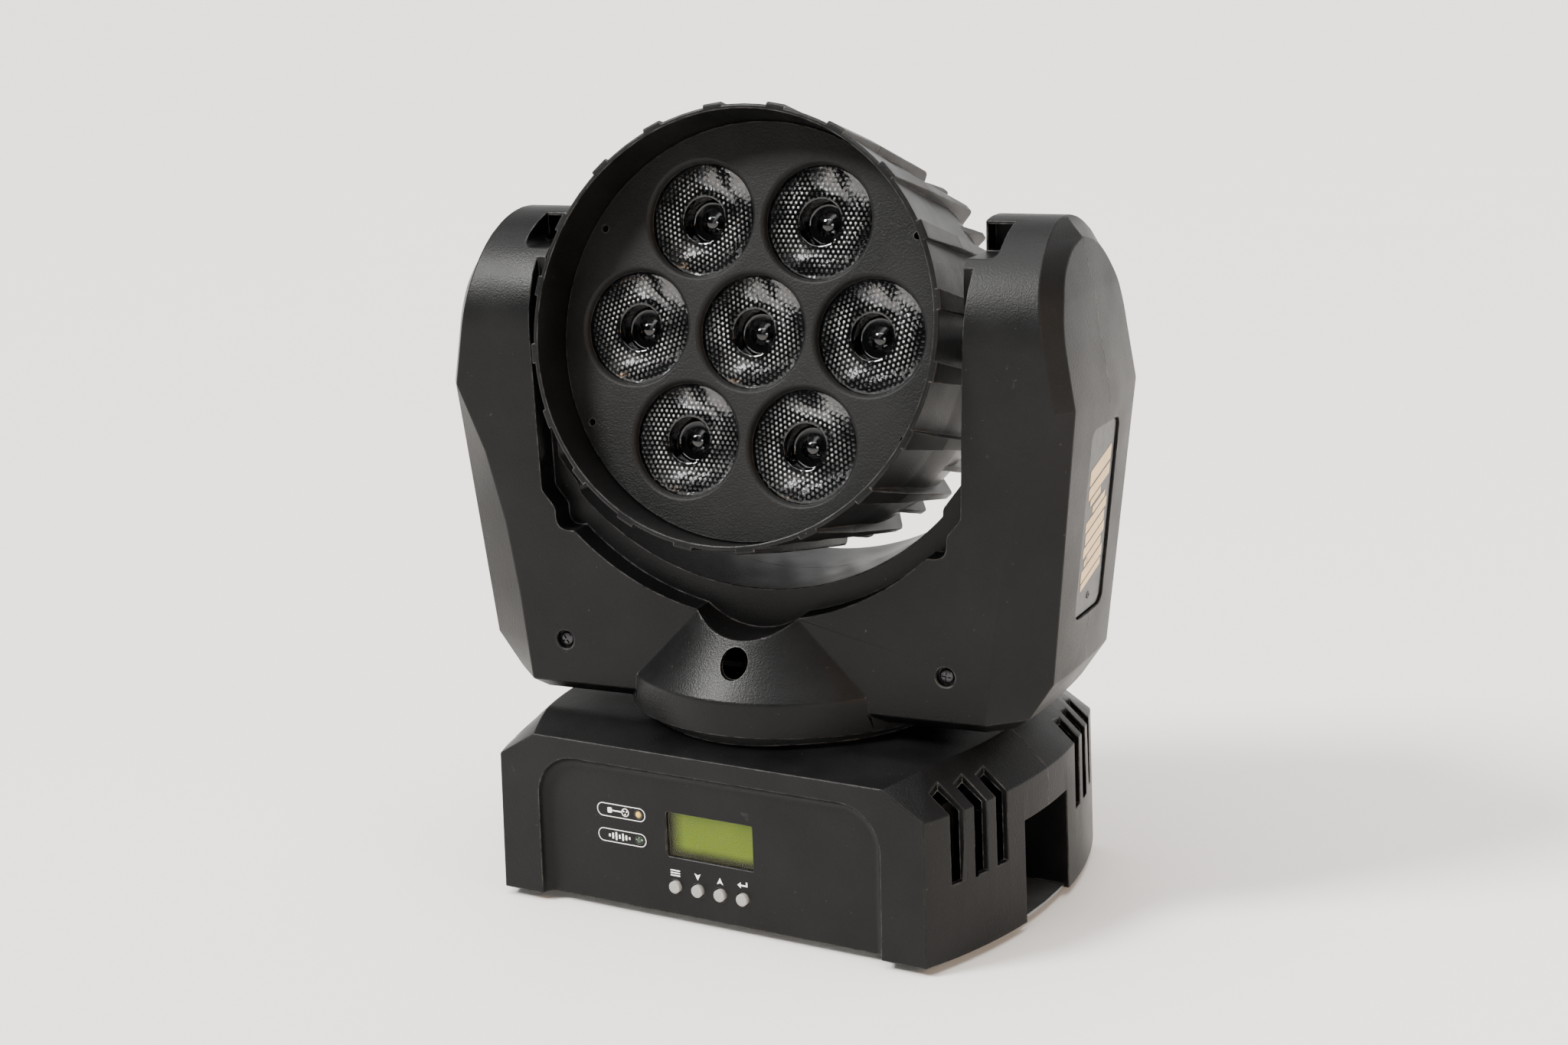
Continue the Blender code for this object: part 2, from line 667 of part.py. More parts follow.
def yoke_solid(inset_side=0.0, inset_front=0.0):
    """The yoke's outer shape with no gap for the head, or the same shape shrunk."""
    dome = YOKE_HALF_DEPTH - inset_front
    heights = [max(z, YOKE_FOOT + inset_front) for z in LOWER_LEVELS]
    heights += [DOME_HEIGHT + dome * math.sin(math.radians(a)) for a in DOME_ANGLES]
    bm = bmesh.new()
    loft(bm, [yoke_ring(z, dome, inset_side, inset_front) for z in heights])
    return bm


def gap_outline(kind, grow=0.0):
    """The outline of the gap for the head, seen from the front, for the web or for the lip round it."""
    centre, radius = WEB_ARC if kind == "web" else LIP_ARC
    side = WEB_SIDE if kind == "web" else LIP_SIDE
    right = [(x + grow, z - grow / 2) for x, z in side]
    lean = math.degrees(math.acos((ARC_END[kind] + grow / 2) / (radius + grow)))
    curve = arc((0, centre), radius + grow, -lean, lean - 180, 18)
    return right + curve + [(-x, z) for x, z in reversed(right)]


def hub_profile(inset):
    """The round hub under the yoke: an upright band and a cone above it."""
    cone_top = HUB_CONE_TOP if not inset else 0.1280
    slope = (HUB_RADIUS - HUB_CONE_TOP_RADIUS) / (HUB_CONE_TOP - HUB_BAND_TOP)
    top_radius = HUB_RADIUS - slope * (cone_top - HUB_BAND_TOP) - inset
    foot = HUB_FOOT if not inset else HUB_FOOT - 0.010
    band = [(HUB_RADIUS + 0.0004 - inset, foot), (HUB_RADIUS - inset, HUB_BAND_TOP)]
    return [(0, foot)] + band + [(top_radius, cone_top), (0, cone_top)]


def yoke_hollow(shell):
    """The room inside the shell, which keeps a wall round the gap, the pocket and the screws."""
    tool = cut(shell, yoke_solid(0.0050, WALL), "hollow")
    web = bmesh.new()
    prism(web, "Y", gap_outline("web", WALL), -0.070, 0.070)
    cut(tool, web, "web_wall")
    lip = bmesh.new()
    prism(lip, "Y", gap_outline("lip", WALL), -0.070, -(WEB_HALF_DEPTH - WALL))
    prism(lip, "Y", gap_outline("lip", WALL), WEB_HALF_DEPTH - WALL, 0.070)
    cut(tool, lip, "lip_wall")
    kept = bmesh.new()
    for side in (-1, 1):
        xs = sorted((side * 0.090, side * (NOTCH_SIDE + WALL)))
        box(kept, (xs[0], -0.070, NOTCH_FLOOR - WALL), (xs[1], -NOTCH_BACK + 0.0025, 0.320))
        prism(kept, "Y", circle(0.0068, 12, (side * SCREW_X, SCREW_HEIGHT)), -0.070, -0.0400)
    cut(tool, kept, "kept_walls")


def badge_block(bm, side, half_width, half_length, corner, inner, outer):
    """A rounded plate in the sloping side face of an arm. inner and outer are measured from that face."""
    slope = (SIDE_FACE[3][1] - SIDE_FACE[2][1]) / (SIDE_FACE[3][0] - SIDE_FACE[2][0])
    outline = rounded_rectangle(half_width, half_length, corner, 3, (0, BADGE_HEIGHT))
    rings = []
    middle = np.interp(BADGE_HEIGHT, *zip(*SIDE_FACE))
    for offset in (inner, outer):
        rings.append([(side * (middle + slope * (z - BADGE_HEIGHT) + offset), y, z) for y, z in outline])
    loft(bm, rings)


def yoke_shell(name, pan_axis, turn):
    """One half of the yoke's cover. The rear half is the same moulding, turned round."""
    shell = part(name, yoke_solid(), "black_plastic", pan_axis, turn=turn)
    hub = bmesh.new()
    turned(hub, "Z", hub_profile(0), 48)
    join(shell, hub, "hub")
    yoke_hollow(shell)
    hub_room = bmesh.new()
    turned(hub_room, "Z", hub_profile(WALL), 48)
    cut(shell, hub_room, "hub_hollow")
    web = bmesh.new()
    prism(web, "Y", gap_outline("web"), -0.090, 0.090)
    cut(shell, web, "gap")
    lip = bmesh.new()
    prism(lip, "Y", gap_outline("lip"), -0.090, -WEB_HALF_DEPTH)
    cut(shell, lip, "lip")
    other_half = bmesh.new()
    box(other_half, (-0.200, -GAP / 2, 0.050), (0.200, 0.120, 0.350))
    cut(shell, other_half, "other_half")
    pockets = bmesh.new()
    for side in (-1, 1):
        corner = arc((NOTCH_SIDE - NOTCH_CORNER, NOTCH_FLOOR + NOTCH_CORNER), NOTCH_CORNER, 0, -90, 4)
        outline = [(0.0900, NOTCH_FLOOR), (0.0900, 0.3200), (NOTCH_SIDE, 0.3200)] + corner
        prism(pockets, "Y", [(side * x, z) for x, z in outline], -0.070, -NOTCH_BACK)
    cut(shell, pockets, "pockets")
    windows = bmesh.new()
    for side in (-1, 1):
        xs = sorted((side * 0.1030, side * (NOTCH_SIDE - 0.0015)))
        box(windows, (xs[0], -0.0160, NOTCH_FLOOR + 0.0015), (xs[1], -0.0070, NOTCH_FLOOR + 0.0095))
    cut(shell, windows, "pocket_windows")
    holes = bmesh.new()
    face = -YOKE_HALF_DEPTH
    for side in (-1, 1):
        profile = [(0, face - 0.005), (0.0043, face - 0.005), (0.0043, -0.0483), (0.0020, -0.0483)]
        turned(holes, "Y", profile + [(0.0020, -0.0350), (0, -0.0350)], 16, (side * SCREW_X, SCREW_HEIGHT))
    prism(holes, "Y", circle(HUB_HOLE, 20, (0, HUB_HOLE_HEIGHT)), -0.090, -0.0540)
    cut(shell, holes, "screw_holes")
    bores = bmesh.new()
    half_width, half_length = BADGE_HALF_WIDTH + GAP, BADGE_HALF_LENGTH + GAP
    for side in (-1, 1):
        ends = sorted((side * 0.095, side * 0.106))
        prism(bores, "X", circle(TILT_SHAFT + 0.0010, 16, (0, TILT_HEIGHT)), *ends)
        badge_block(bores, side, half_width, half_length, BADGE_CORNER, -BADGE_DEPTH, 0.010)
    cut(shell, bores, "bores_and_badges")


def make_yoke(pan_axis):
    yoke_shell("yoke_front_shell", pan_axis, 0.0)
    yoke_shell("yoke_rear_shell", pan_axis, math.pi)
    for side, name in ((1, "right"), (-1, "left")):
        badge = bmesh.new()
        back = -BADGE_DEPTH + GAP
        front = back + BADGE_THICKNESS
        badge_block(badge, side, BADGE_HALF_WIDTH, BADGE_HALF_LENGTH, BADGE_CORNER, back, front)
        part(f"arm_badge_{name}", badge, "badge_silver", pan_axis)
    for end, row in ((-1, "front"), (1, "rear")):
        for side, name in ((1, "right"), (-1, "left")):
            screw = bmesh.new()
            head = [(0, 0.0505), (0.0026, 0.0505), (0.0032, 0.0499), (0.0032, 0.0486)]
            shank = [(0.0016, 0.0486), (0.0016, 0.0380), (0, 0.0380)]
            turned(screw, "Y", [(r, end * y) for r, y in head + shank], 12)
            part(f"yoke_screw_{row}_{name}", screw, "steel", pan_axis, (side * SCREW_X, 0, SCREW_HEIGHT))


def make_yoke_frame(pan_axis):
    """The metal frame inside the yoke, which stands on the pan spindle and holds the tilt bearings."""
    bm = bmesh.new()
    outer = FRAME_X
    inner = FRAME_X - FRAME_THICKNESS
    foot = FRAME_FOOT
    top = TILT_HEIGHT + 0.0200
    outline = [(-outer, foot), (outer, foot), (outer, top), (inner, top), (inner, foot + FRAME_THICKNESS)]
    outline += [(-inner, foot + FRAME_THICKNESS), (-inner, top), (-outer, top)]
    prism(bm, "Y", outline, -0.0240, 0.0240)
    frame = part("yoke_frame", bm, "steel", pan_axis)
    holes = bmesh.new()
    prism(holes, "X", circle(TILT_BEARING + GAP, 24, (0, TILT_HEIGHT)), -0.130, 0.130)
    prism(holes, "X", circle(0.0045, 12, (0, TILT_MOTOR_HEIGHT)), 0.090, 0.130)
    prism(holes, "Z", circle(0.0180, 24), 0.090, 0.110)
    cut(frame, holes, "holes")

    spindle = bmesh.new()
    bore = 0.0180
    profile = [(bore, 0.0420), (PAN_SPINDLE, 0.0420), (PAN_SPINDLE, PAN_BELT_LOW), (PAN_PULLEY, PAN_BELT_LOW)]
    profile += [(PAN_PULLEY, PAN_BELT_HIGH), (PAN_SPINDLE, PAN_BELT_HIGH), (PAN_SPINDLE, foot - 0.0035)]
    profile += [(0.0235, foot - 0.0030), (0.0235, foot - GAP), (bore, foot - GAP)]
    turned(spindle, "Z", profile, 24)
    part("pan_pulley", spindle, "aluminium", pan_axis)


def make_tilt_drive(pan_axis):
    plate = FRAME_X - FRAME_THICKNESS - GAP
    motor("tilt_motor", "X", (0, TILT_MOTOR_HEIGHT), (0.0720, plate), 0.1230, pan_axis)
    middle = (TILT_BELT_LOW + TILT_BELT_HIGH) / 2
    pinion("tilt_pinion", "X", pan_axis, (middle, 0, TILT_MOTOR_HEIGHT))
    wheels = ((0, TILT_HEIGHT), TILT_PULLEY), ((0, TILT_MOTOR_HEIGHT), PINION)
    belt("tilt_belt", "X", *wheels, TILT_BELT_LOW + 0.001, TILT_BELT_HIGH - 0.001, pan_axis)
    inner = TILT_SHAFT + GAP
    for side, name in ((1, "right"), (-1, "left")):
        ring = bmesh.new()
        profile = [(inner, 0.1055), (TILT_BEARING, 0.1055), (TILT_BEARING, 0.1125), (inner, 0.1125)]
        turned(ring, "X", [(r, side * x) for r, x in profile], 24, (0, TILT_HEIGHT))
        part(f"tilt_bearing_{name}", ring, "steel", pan_axis)


# ---------------------------------------------------------------- head


def ahead(profile):
    """Turn (radius, distance along the beam) points into the head's frame, where the beam is -Y."""
    return [(radius, -forward) for radius, forward in profile]


def rib(bm, angle, outline, front_width, back_width):
    """A radial rib. outline is (radius, forward) points; the rib narrows from front to back."""
    forwards = [forward for _, forward in outline]
    span = max(forwards) - min(forwards)
    outwards = (math.cos(angle), math.sin(angle))
    across = (-math.sin(angle), math.cos(angle))
    rings = []
    for side in (-0.5, 0.5):
        ring = []
        for radius, forward in outline:
            share = (forward - min(forwards)) / span
            shift = side * (back_width + share * (front_width - back_width))
            x = radius * outwards[0] + shift * across[0]
            z = radius * outwards[1] + shift * across[1]
            ring.append((x, -forward, z))
        rings.append(ring)
    loft(bm, rings)


def rib_angles(offset):
    return [math.radians(offset + 360 / FIN_COUNT * i) for i in range(FIN_COUNT)]


def make_bezel(tilt_axis):
    bm = bmesh.new()
    ledge = FACE_FRONT - FACE_THICKNESS - GAP
    profile = [(RIM_INNER, RIM_FRONT), (RIM_RADIUS, RIM_FRONT), (0.0957, 0.0550), (0.0929, SEAM)]
    profile += [(0.0902, SEAM), (0.0902, ledge), (0.0925, ledge), (0.0927, FACE_FRONT)]
    turned(bm, "Y", ahead(profile), 40)
    bezel = part("head_bezel", bm, "black_plastic", tilt_axis)
    lugs = bmesh.new()
    outline = [(LUG_RADIUS, RIM_FRONT), (FIN_SEAM_RADIUS, SEAM), (0.0914, SEAM), (0.0948, RIM_FRONT)]
    for angle in rib_angles(9):
        rib(lugs, angle, outline, 0.0088, 0.0064)
    join(bezel, lugs, "lugs")


def make_rear_housing(tilt_axis):
    bm = bmesh.new()
    front = SEAM - GAP
    outside = [(0.0926, front), (0.0912, -0.0150), (0.0875, -0.0380), (0.0800, -0.0540), (0.0720, -0.0620)]
    outside += [(0.0680, HOUSING_BACK), (VENT_RADIUS, HOUSING_BACK)]
    inside = [(VENT_RADIUS, HOUSING_BACK + WALL), (0.0670, HOUSING_BACK + WALL), (0.0776, -0.0524)]
    inside += [(0.0849, -0.0370), (0.0886, -0.0150), (0.0900, front)]
    turned(bm, "Y", ahead(outside + inside), 40)
    housing = part("rear_housing", bm, "black_plastic", tilt_axis)
    fins = bmesh.new()
    outline = [(FIN_SEAM_RADIUS, front), (FIN_TIP_RADIUS, FIN_TIP), (0.0795, -0.0535), (0.0862, -0.0375)]
    outline += [(0.0899, -0.0150), (0.0913, front)]
    for angle in rib_angles(9):
        rib(fins, angle, outline, 0.0064, 0.0040)
    join(housing, fins, "fins")
    small_fins = bmesh.new()
    outline = [(0.0902, -0.0160), (0.0916, -0.0472), (0.0795, -0.0537), (0.0862, -0.0375)]
    for angle in rib_angles(0):
        if abs(math.sin(angle)) > 0.1:
            rib(small_fins, angle, outline, 0.0030, 0.0030)
    join(housing, small_fins, "small_fins")
    bore = bmesh.new()
    prism(bore, "X", circle(TILT_SHAFT + GAP, 16), -0.110, 0.110)
    cut(housing, bore, "shaft_bore")

    grille = bmesh.new()
    rim = VENT_RADIUS - GAP
    prism(grille, "Y", circle(rim, 32), -HOUSING_BACK - WALL, -HOUSING_BACK - 0.0006)
    guard = part("rear_grille", grille, "smooth_black", tilt_axis)
    slots = bmesh.new()
    for inner, outer in ((0.0110, 0.0200), (0.0230, 0.0310), (0.0335, 0.0410)):
        for third in range(3):
            start = 120 * third + math.degrees(0.0015 / inner)
            end = 120 * third + 120 - math.degrees(0.0015 / inner)
            outline = arc((0, 0), inner, start, end, 4) + arc((0, 0), outer, end, start, 4)
            prism(slots, "Y", outline, 0.0500, 0.0700)
    cut(guard, slots, "slots")


def lens_centres():
    """The middle lens and the ring of six, as (x, z)."""
    return [(0.0, 0.0)] + circle(LENS_RING, 6)


def make_face(tilt_axis):
    bm = bmesh.new()
    prism(bm, "Y", circle(FACE_RADIUS, 40), -FACE_FRONT, -FACE_FRONT + FACE_THICKNESS)
    face = part("face_plate", bm, "black_plastic", tilt_axis)
    holes = bmesh.new()
    for centre in lens_centres():
        prism(holes, "Y", circle(LENS_HOLE, 18, centre), -0.050, -0.030)
    for angle in np.radians((30, 150, 210, 330)):
        centre = (FIXING_RING * math.cos(angle), FIXING_RING * math.sin(angle))
        prism(holes, "Y", circle(0.0016, 8, centre), -0.050, -0.030)
    cut(face, holes, "holes")
    front = FACE_FRONT - FACE_THICKNESS - GAP
    cup = [(0, front - 0.0090), (LENS_CUP - 0.0015, front - 0.0090), (LENS_CUP, front)]
    profile = cup + [(LENS_FLANGE, front), (LENS_FLANGE, front - 0.0024)]
    profile += [(0.0080, LENS_FOOT), (0.0052, LENS_FOOT)]
    profile += [(0.0040, LENS_FOOT + 0.0070), (0, LENS_FOOT + 0.0070)]
    for index, (x, z) in enumerate(lens_centres(), 1):
        lens = bmesh.new()
        turned(lens, "Y", ahead(profile), 16)
        part(f"lens_{index}", lens, "clear_plastic", tilt_axis, (x, 0, z))


def make_light_engine(tilt_axis):
    bm = bmesh.new()
    prism(bm, "Y", circle(0.0820, 32), -BOARD_FRONT, -BOARD_FRONT + 0.0016)
    board = part("led_board", bm, "circuit_board", tilt_axis)
    emitters = bmesh.new()
    for centre in lens_centres():
        prism(emitters, "Y", circle(0.0034, 8, centre), -BOARD_FRONT - 0.0019, -BOARD_FRONT + 0.0008)
    join(board, emitters, "emitters")
    sink = bmesh.new()
    back_of_board = BOARD_FRONT - 0.0016 - GAP
    prism(sink, "Y", circle(0.0800, 32), -back_of_board, -back_of_board + 0.0050)
    block = part("heat_sink", sink, "aluminium", tilt_axis)
    fins = bmesh.new()
    for step in range(-4, 5):
        x = step * 0.0140
        half = math.sqrt(0.0700**2 - x**2)
        box(fins, (x - 0.001, -back_of_board + 0.0040, -half), (x + 0.001, 0.0280, half))
    join(block, fins, "fins")


def make_fan(tilt_axis):
    bm = bmesh.new()
    prism(bm, "Y", rounded_rectangle(FAN_HALF, FAN_HALF, 0.005, 2), -FAN_FRONT, -FAN_BACK)
    frame = part("fan_frame", bm, "smooth_black", tilt_axis)
    opening = bmesh.new()
    prism(opening, "Y", circle(FAN_RADIUS + 0.0015, 28), -FAN_FRONT - 0.010, -FAN_BACK + 0.010)
    cut(frame, opening, "opening")
    hub_plate = bmesh.new()
    prism(hub_plate, "Y", circle(0.0150, 20), -FAN_BACK - 0.0015, -FAN_BACK)
    join(frame, hub_plate, "hub_plate")
    bars = bmesh.new()
    box(bars, (-0.0390, -FAN_BACK - 0.0013, -0.0020), (0.0390, -FAN_BACK - 0.0002, 0.0020))
    join(frame, bars, "strut")
    upright = bmesh.new()
    box(upright, (-0.0020, -FAN_BACK - 0.0012, -0.0390), (0.0020, -FAN_BACK - 0.0003, 0.0390))
    join(frame, upright, "upright_strut")

    middle = (FAN_FRONT + FAN_BACK) / 2
    hub = bmesh.new()
    turned(hub, "Y", [(0, -0.0055), (0.0160, -0.0055), (0.0160, 0.0050), (0, 0.0050)], 20)
    rotor = part("fan_rotor", hub, "smooth_black", tilt_axis, (0, -middle, 0))
    blades = bmesh.new()
    for blade in range(7):
        rings = []
        for radius in (0.0150, FAN_RADIUS):
            turn = 2 * math.pi * blade / 7 + (radius - 0.0150) * 14
            thin = 0.0012 / radius
            ring = []
            for lead, y in ((-0.20, -0.0040), (thin - 0.20, -0.0046), (0.22, 0.0040), (0.22 - thin, 0.0046)):
                angle = turn + lead
                ring.append((radius * math.cos(angle), y, radius * math.sin(angle)))
            rings.append(ring)
        loft(blades, rings)
    join(rotor, blades, "blades")


def make_tilt_shafts(tilt_axis):
    bore = 0.0050
    for side, name, end in ((1, "right", 0.1235), (-1, "left", 0.1135)):
        bm = bmesh.new()
        flange = [(bore, 0.0835), (0.0170, 0.0835), (0.0170, 0.0866), (TILT_SHAFT, 0.0866)]
        profile = flange + [(TILT_SHAFT, end), (bore, end)]
        turned(bm, "X", [(r, side * x) for r, x in profile], 16)
        part(f"tilt_shaft_{name}", bm, "steel", tilt_axis)
    pulley = bmesh.new()
    corners = ((0, TILT_BELT_LOW), (1, TILT_BELT_LOW), (1, TILT_BELT_HIGH), (0, TILT_BELT_HIGH))
    radii = (TILT_SHAFT + GAP, TILT_PULLEY)
    turned(pulley, "X", [(radii[outer], x) for outer, x in corners], 28)
    part("tilt_pulley", pulley, "aluminium", tilt_axis)


# ---------------------------------------------------------------- assembly


def main():
    clear_scene()
    pan_axis = empty("pan_axis", rotation=(0, 0, PAN_AT_REST))
    tilt_axis = empty("tilt_axis", pan_axis, (0, 0, TILT_HEIGHT), (-TILT_AT_REST, 0, 0))
    make_base_shells()
    make_bottom_plate()
    make_panel_parts()
    make_control_board()
    make_power_supply()
    make_sockets()
    make_pan_drive()
    make_yoke(pan_axis)
    make_yoke_frame(pan_axis)
    make_tilt_drive(pan_axis)
    make_bezel(tilt_axis)
    make_rear_housing(tilt_axis)
    make_face(tilt_axis)
    make_light_engine(tilt_axis)
    make_fan(tilt_axis)
    make_tilt_shafts(tilt_axis)


main()
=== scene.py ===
"""The looks of a moving head light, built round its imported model.

Units are metres, +Z is up and -Y is the front. Shapes of the base are written in the frame of the row, those
of the yoke in a frame turned with it, and those of the head in a frame centred on the tilt axis, whose -Y is
the beam.
"""

import json
from math import acos, asin, atan2, cos, degrees, floor, hypot, pi, radians, sin, sqrt

import bmesh
import bpy
import numpy as np
from mathutils import Matrix, Vector
from mathutils.geometry import delaunay_2d_cdt


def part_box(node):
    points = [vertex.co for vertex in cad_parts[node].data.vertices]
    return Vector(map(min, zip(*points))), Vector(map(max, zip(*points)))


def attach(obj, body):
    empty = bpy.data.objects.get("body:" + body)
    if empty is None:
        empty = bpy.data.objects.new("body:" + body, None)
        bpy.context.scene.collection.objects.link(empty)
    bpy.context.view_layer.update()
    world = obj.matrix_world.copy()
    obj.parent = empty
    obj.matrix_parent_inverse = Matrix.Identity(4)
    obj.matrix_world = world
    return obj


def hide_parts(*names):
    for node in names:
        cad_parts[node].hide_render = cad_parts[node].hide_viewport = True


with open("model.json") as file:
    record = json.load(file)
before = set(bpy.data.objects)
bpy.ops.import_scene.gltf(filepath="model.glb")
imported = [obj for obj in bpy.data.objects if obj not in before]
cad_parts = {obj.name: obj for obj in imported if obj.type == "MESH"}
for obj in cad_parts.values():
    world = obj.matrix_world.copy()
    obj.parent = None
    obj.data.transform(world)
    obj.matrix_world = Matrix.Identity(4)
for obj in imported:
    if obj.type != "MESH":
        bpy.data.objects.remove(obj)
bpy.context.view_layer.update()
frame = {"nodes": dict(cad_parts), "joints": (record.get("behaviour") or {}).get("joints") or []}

# ---------------------------------------------------------------- dimensions

GAP = 0.0003
WALL = 0.0026

BASE_HALF_DEPTH = 0.0881
BASE_CORNER = 0.11
BASE_BULGE = 0.0178
BASE_DRAFT = 0.0011
BASE_WALL_TOP = 0.065
BASE_BROW = 0.077
BASE_BROW_HALF = 0.0897
BASE_TOP = 0.0813
BASE_TOP_BULGE = 0.0191
BASE_TOP_FLAT = 0.062
CAVITY_HALF_DEPTH = 0.0797
PANEL_Y = -0.0826
PANEL_HALF = 0.0885
PANEL_TOP = 0.068
PANEL_CORNER = 0.02
PANEL_COVE = 0.0052
LCD_HALF = 0.0224
LCD_LOW = 0.0272
LCD_HIGH = 0.0483
BUTTON_RADIUS = 0.00285
BUTTON_HEIGHT = 0.0135
BUTTONS = {"menu": -0.0185, "down": -0.0067, "up": 0.005, "enter": 0.0167}
INDICATOR_X = -0.0372
INDICATORS = {"dmx": 0.0446, "sound": 0.0325}
BRIDGE_HALF = 0.091
PLATE_THICKNESS = 0.0015
VENT_FIRST = 0.0398
VENT_PITCH = 0.0144
VENT_WIDTH = 0.008
VENT_FOOT = 0.0335
GRIP_HALF = 0.0223
GRIP_TOP = 0.0473
SOCKET_PLATE_HALF = 0.078
SOCKET_PLATE_LOW = 0.01
SOCKET_PLATE_HIGH = 0.062
SOCKET_HEIGHT = 0.036
SOCKET_FACE = 0.0828

HUB_FOOT = 0.0859
HUB_BAND_TOP = 0.0999
HUB_RADIUS = 0.077
HUB_CONE_TOP = 0.14
HUB_EDGE_FOOT = 0.0586
HUB_EDGE_SLOPE = 0.977
HUB_SCOOP = (0.1628, 0.037)  # height of its centre, radius
HUB_HOLE_HEIGHT = 0.1164
HUB_HOLE = 0.0066

YOKE_HALF_DEPTH = 0.0518
YOKE_FOOT = 0.089
DOME_HEIGHT = 0.2564
SIDE_DOME = 0.0422
SIDE_CROWN = 0.0016
SIDE_FACE = (
    (0.089, 0.1205), (0.0945, 0.1275), (0.1114, 0.139), (0.232, 0.1516), (0.2534, 0.148),
    (0.2763, 0.1447), (0.2876, 0.142), (0.2986, 0.1397), (0.3082, 0.1323),
)
FRONT_EDGE = (
    (0.089, 0.108), (0.0945, 0.1117), (0.1357, 0.1162), (0.1686, 0.1216), (0.2011, 0.1303),
    (0.232, 0.1438), (0.2564, 0.1395), (0.282, 0.1353), (0.3082, 0.1322),
)
FRONT_DEPTH = ((0.089, 0.0435), (0.0945, YOKE_HALF_DEPTH))
SIDE_DEPTH = ((0.089, 0.034), (0.0945, 0.036), (0.1114, 0.0376), (0.232, 0.0427), (0.2564, SIDE_DOME))
WEB_HALF_DEPTH = 0.0395
WEB_ARC = (0.2649, 0.121)
WEB_SIDE = ((0.1004, 0.33), (0.0998, 0.25), (0.0985, 0.1985), (0.0889, 0.186))
LIP_ARC = (0.2574, 0.1245)
LIP_SIDE = (
    (0.106, 0.33), (0.1039, 0.276), (0.1016, 0.185), (0.095, 0.177), (0.095, 0.1715),
    (0.0935, 0.1682), (0.09, 0.1669),
)
ARC_END = {"web": 0.0889, "lip": 0.0858}
NOTCH_SIDE = 0.1137
NOTCH_BACK = 0.012
NOTCH_FLOOR = 0.2936
NOTCH_CORNER = 0.004
SCREW_X = 0.0936
SCREW_HEIGHT = 0.1148
BADGE_HEIGHT = 0.177
BADGE_HALF_LENGTH = 0.042
BADGE_HALF_WIDTH = 0.0187
BADGE_CORNER = 0.005
BADGE_THICKNESS = 0.0016
BADGE_DEPTH = 0.0032
TILT_SHAFT = 0.0082

RIM_FRONT = 0.0615
FACE_FRONT = 0.0392
SEAM = 0.0172
RIM_RADIUS = 0.096
RIM_INNER = 0.0939
FACE_RADIUS = 0.0922
FACE_THICKNESS = 0.0035
FIXING_RING = 0.087
LENS_RING = 0.0563
LENS_HOLE = 0.025
LENS_FLANGE = 0.0263
LENS_CUP = 0.01
LENS_FOOT = 0.0136
LENS_PITCH = 0.0024
FIN_COUNT = 20
HOUSING_BACK = -0.064
VENT_RADIUS = 0.045


def joint(name):
    return next(j for j in frame["joints"] if j["name"] == name)


TILT_HEIGHT = joint("tilt")["pos_m"][2]
PAN_TURN = atan2(-joint("tilt")["axis"][1], -joint("tilt")["axis"][0])
TILT_RAISE = asin(joint("fan_spin")["axis"][2])
BASE = Matrix.Identity(4)
PAN = Matrix.Rotation(PAN_TURN, 4, "Z")
HEAD = PAN @ Matrix.Translation((0, 0, TILT_HEIGHT)) @ Matrix.Rotation(-TILT_RAISE, 4, "X")


# ---------------------------------------------------------------- shapes


def spot(axis, along, u, v):
    """A point from its place along an axis and its two coordinates across it."""
    return {"X": (along, u, v), "Y": (u, along, v), "Z": (u, v, along)}[axis]


def circle(radius, steps, centre=(0, 0), start=0.0):
    angles = [start + 2 * pi * i / steps for i in range(steps)]
    return [(centre[0] + radius * cos(a), centre[1] + radius * sin(a)) for a in angles]


def arc(centre, radius, start, end, steps):
    """Points along an arc, both ends included, in degrees."""
    angles = np.radians(np.linspace(start, end, steps + 1))
    return [(centre[0] + radius * cos(a), centre[1] + radius * sin(a)) for a in angles]


def rounded_rectangle(half_width, half_height, corner, steps=6, centre=(0, 0)):
    x = half_width - corner
    z = half_height - corner
    points = []
    for (sx, sz), start in zip(((1, 1), (-1, 1), (-1, -1), (1, -1)), (0, 90, 180, 270)):
        points += arc((centre[0] + sx * x, centre[1] + sz * z), corner, start, start + 90, steps)
    return points


def rounded_corners(points, reach):
    """An open outline with each inner corner replaced by a curve that starts reach before it."""
    made = [points[0]]
    for before, corner, after in zip(points, points[1:], points[2:]):
        corner = Vector(corner)
        back, on = Vector(before) - corner, Vector(after) - corner
        start = corner + back * min(reach / back.length, 0.45)
        end = corner + on * min(reach / on.length, 0.45)
        for share in np.linspace(0, 1, 6):
            made.append(tuple(start * (1 - share) ** 2 + corner * 2 * share * (1 - share) + end * share**2))
    return made + [points[-1]]


def loft(bm, rings, closed=False):
    """Skin a stack of rings of points, with a flat face on each end, or joined end to end."""
    loops = [[bm.verts.new(point) for point in ring] for ring in rings]
    pairs = list(zip(loops, loops[1:]))
    if closed:
        pairs.append((loops[-1], loops[0]))
    for lower, upper in pairs:
        for i in range(len(lower)):
            j = (i + 1) % len(lower)
            bm.faces.new((lower[i], lower[j], upper[j], upper[i]))
    if not closed:
        bm.faces.new(loops[0])
        bm.faces.new(loops[-1])


def prism(bm, axis, outline, start, end):
    loft(bm, [[spot(axis, along, u, v) for u, v in outline] for along in (start, end)])


def box(bm, low, high):
    outline = [(low[0], low[1]), (high[0], low[1]), (high[0], high[1]), (low[0], high[1])]
    prism(bm, "Z", outline, low[2], high[2])


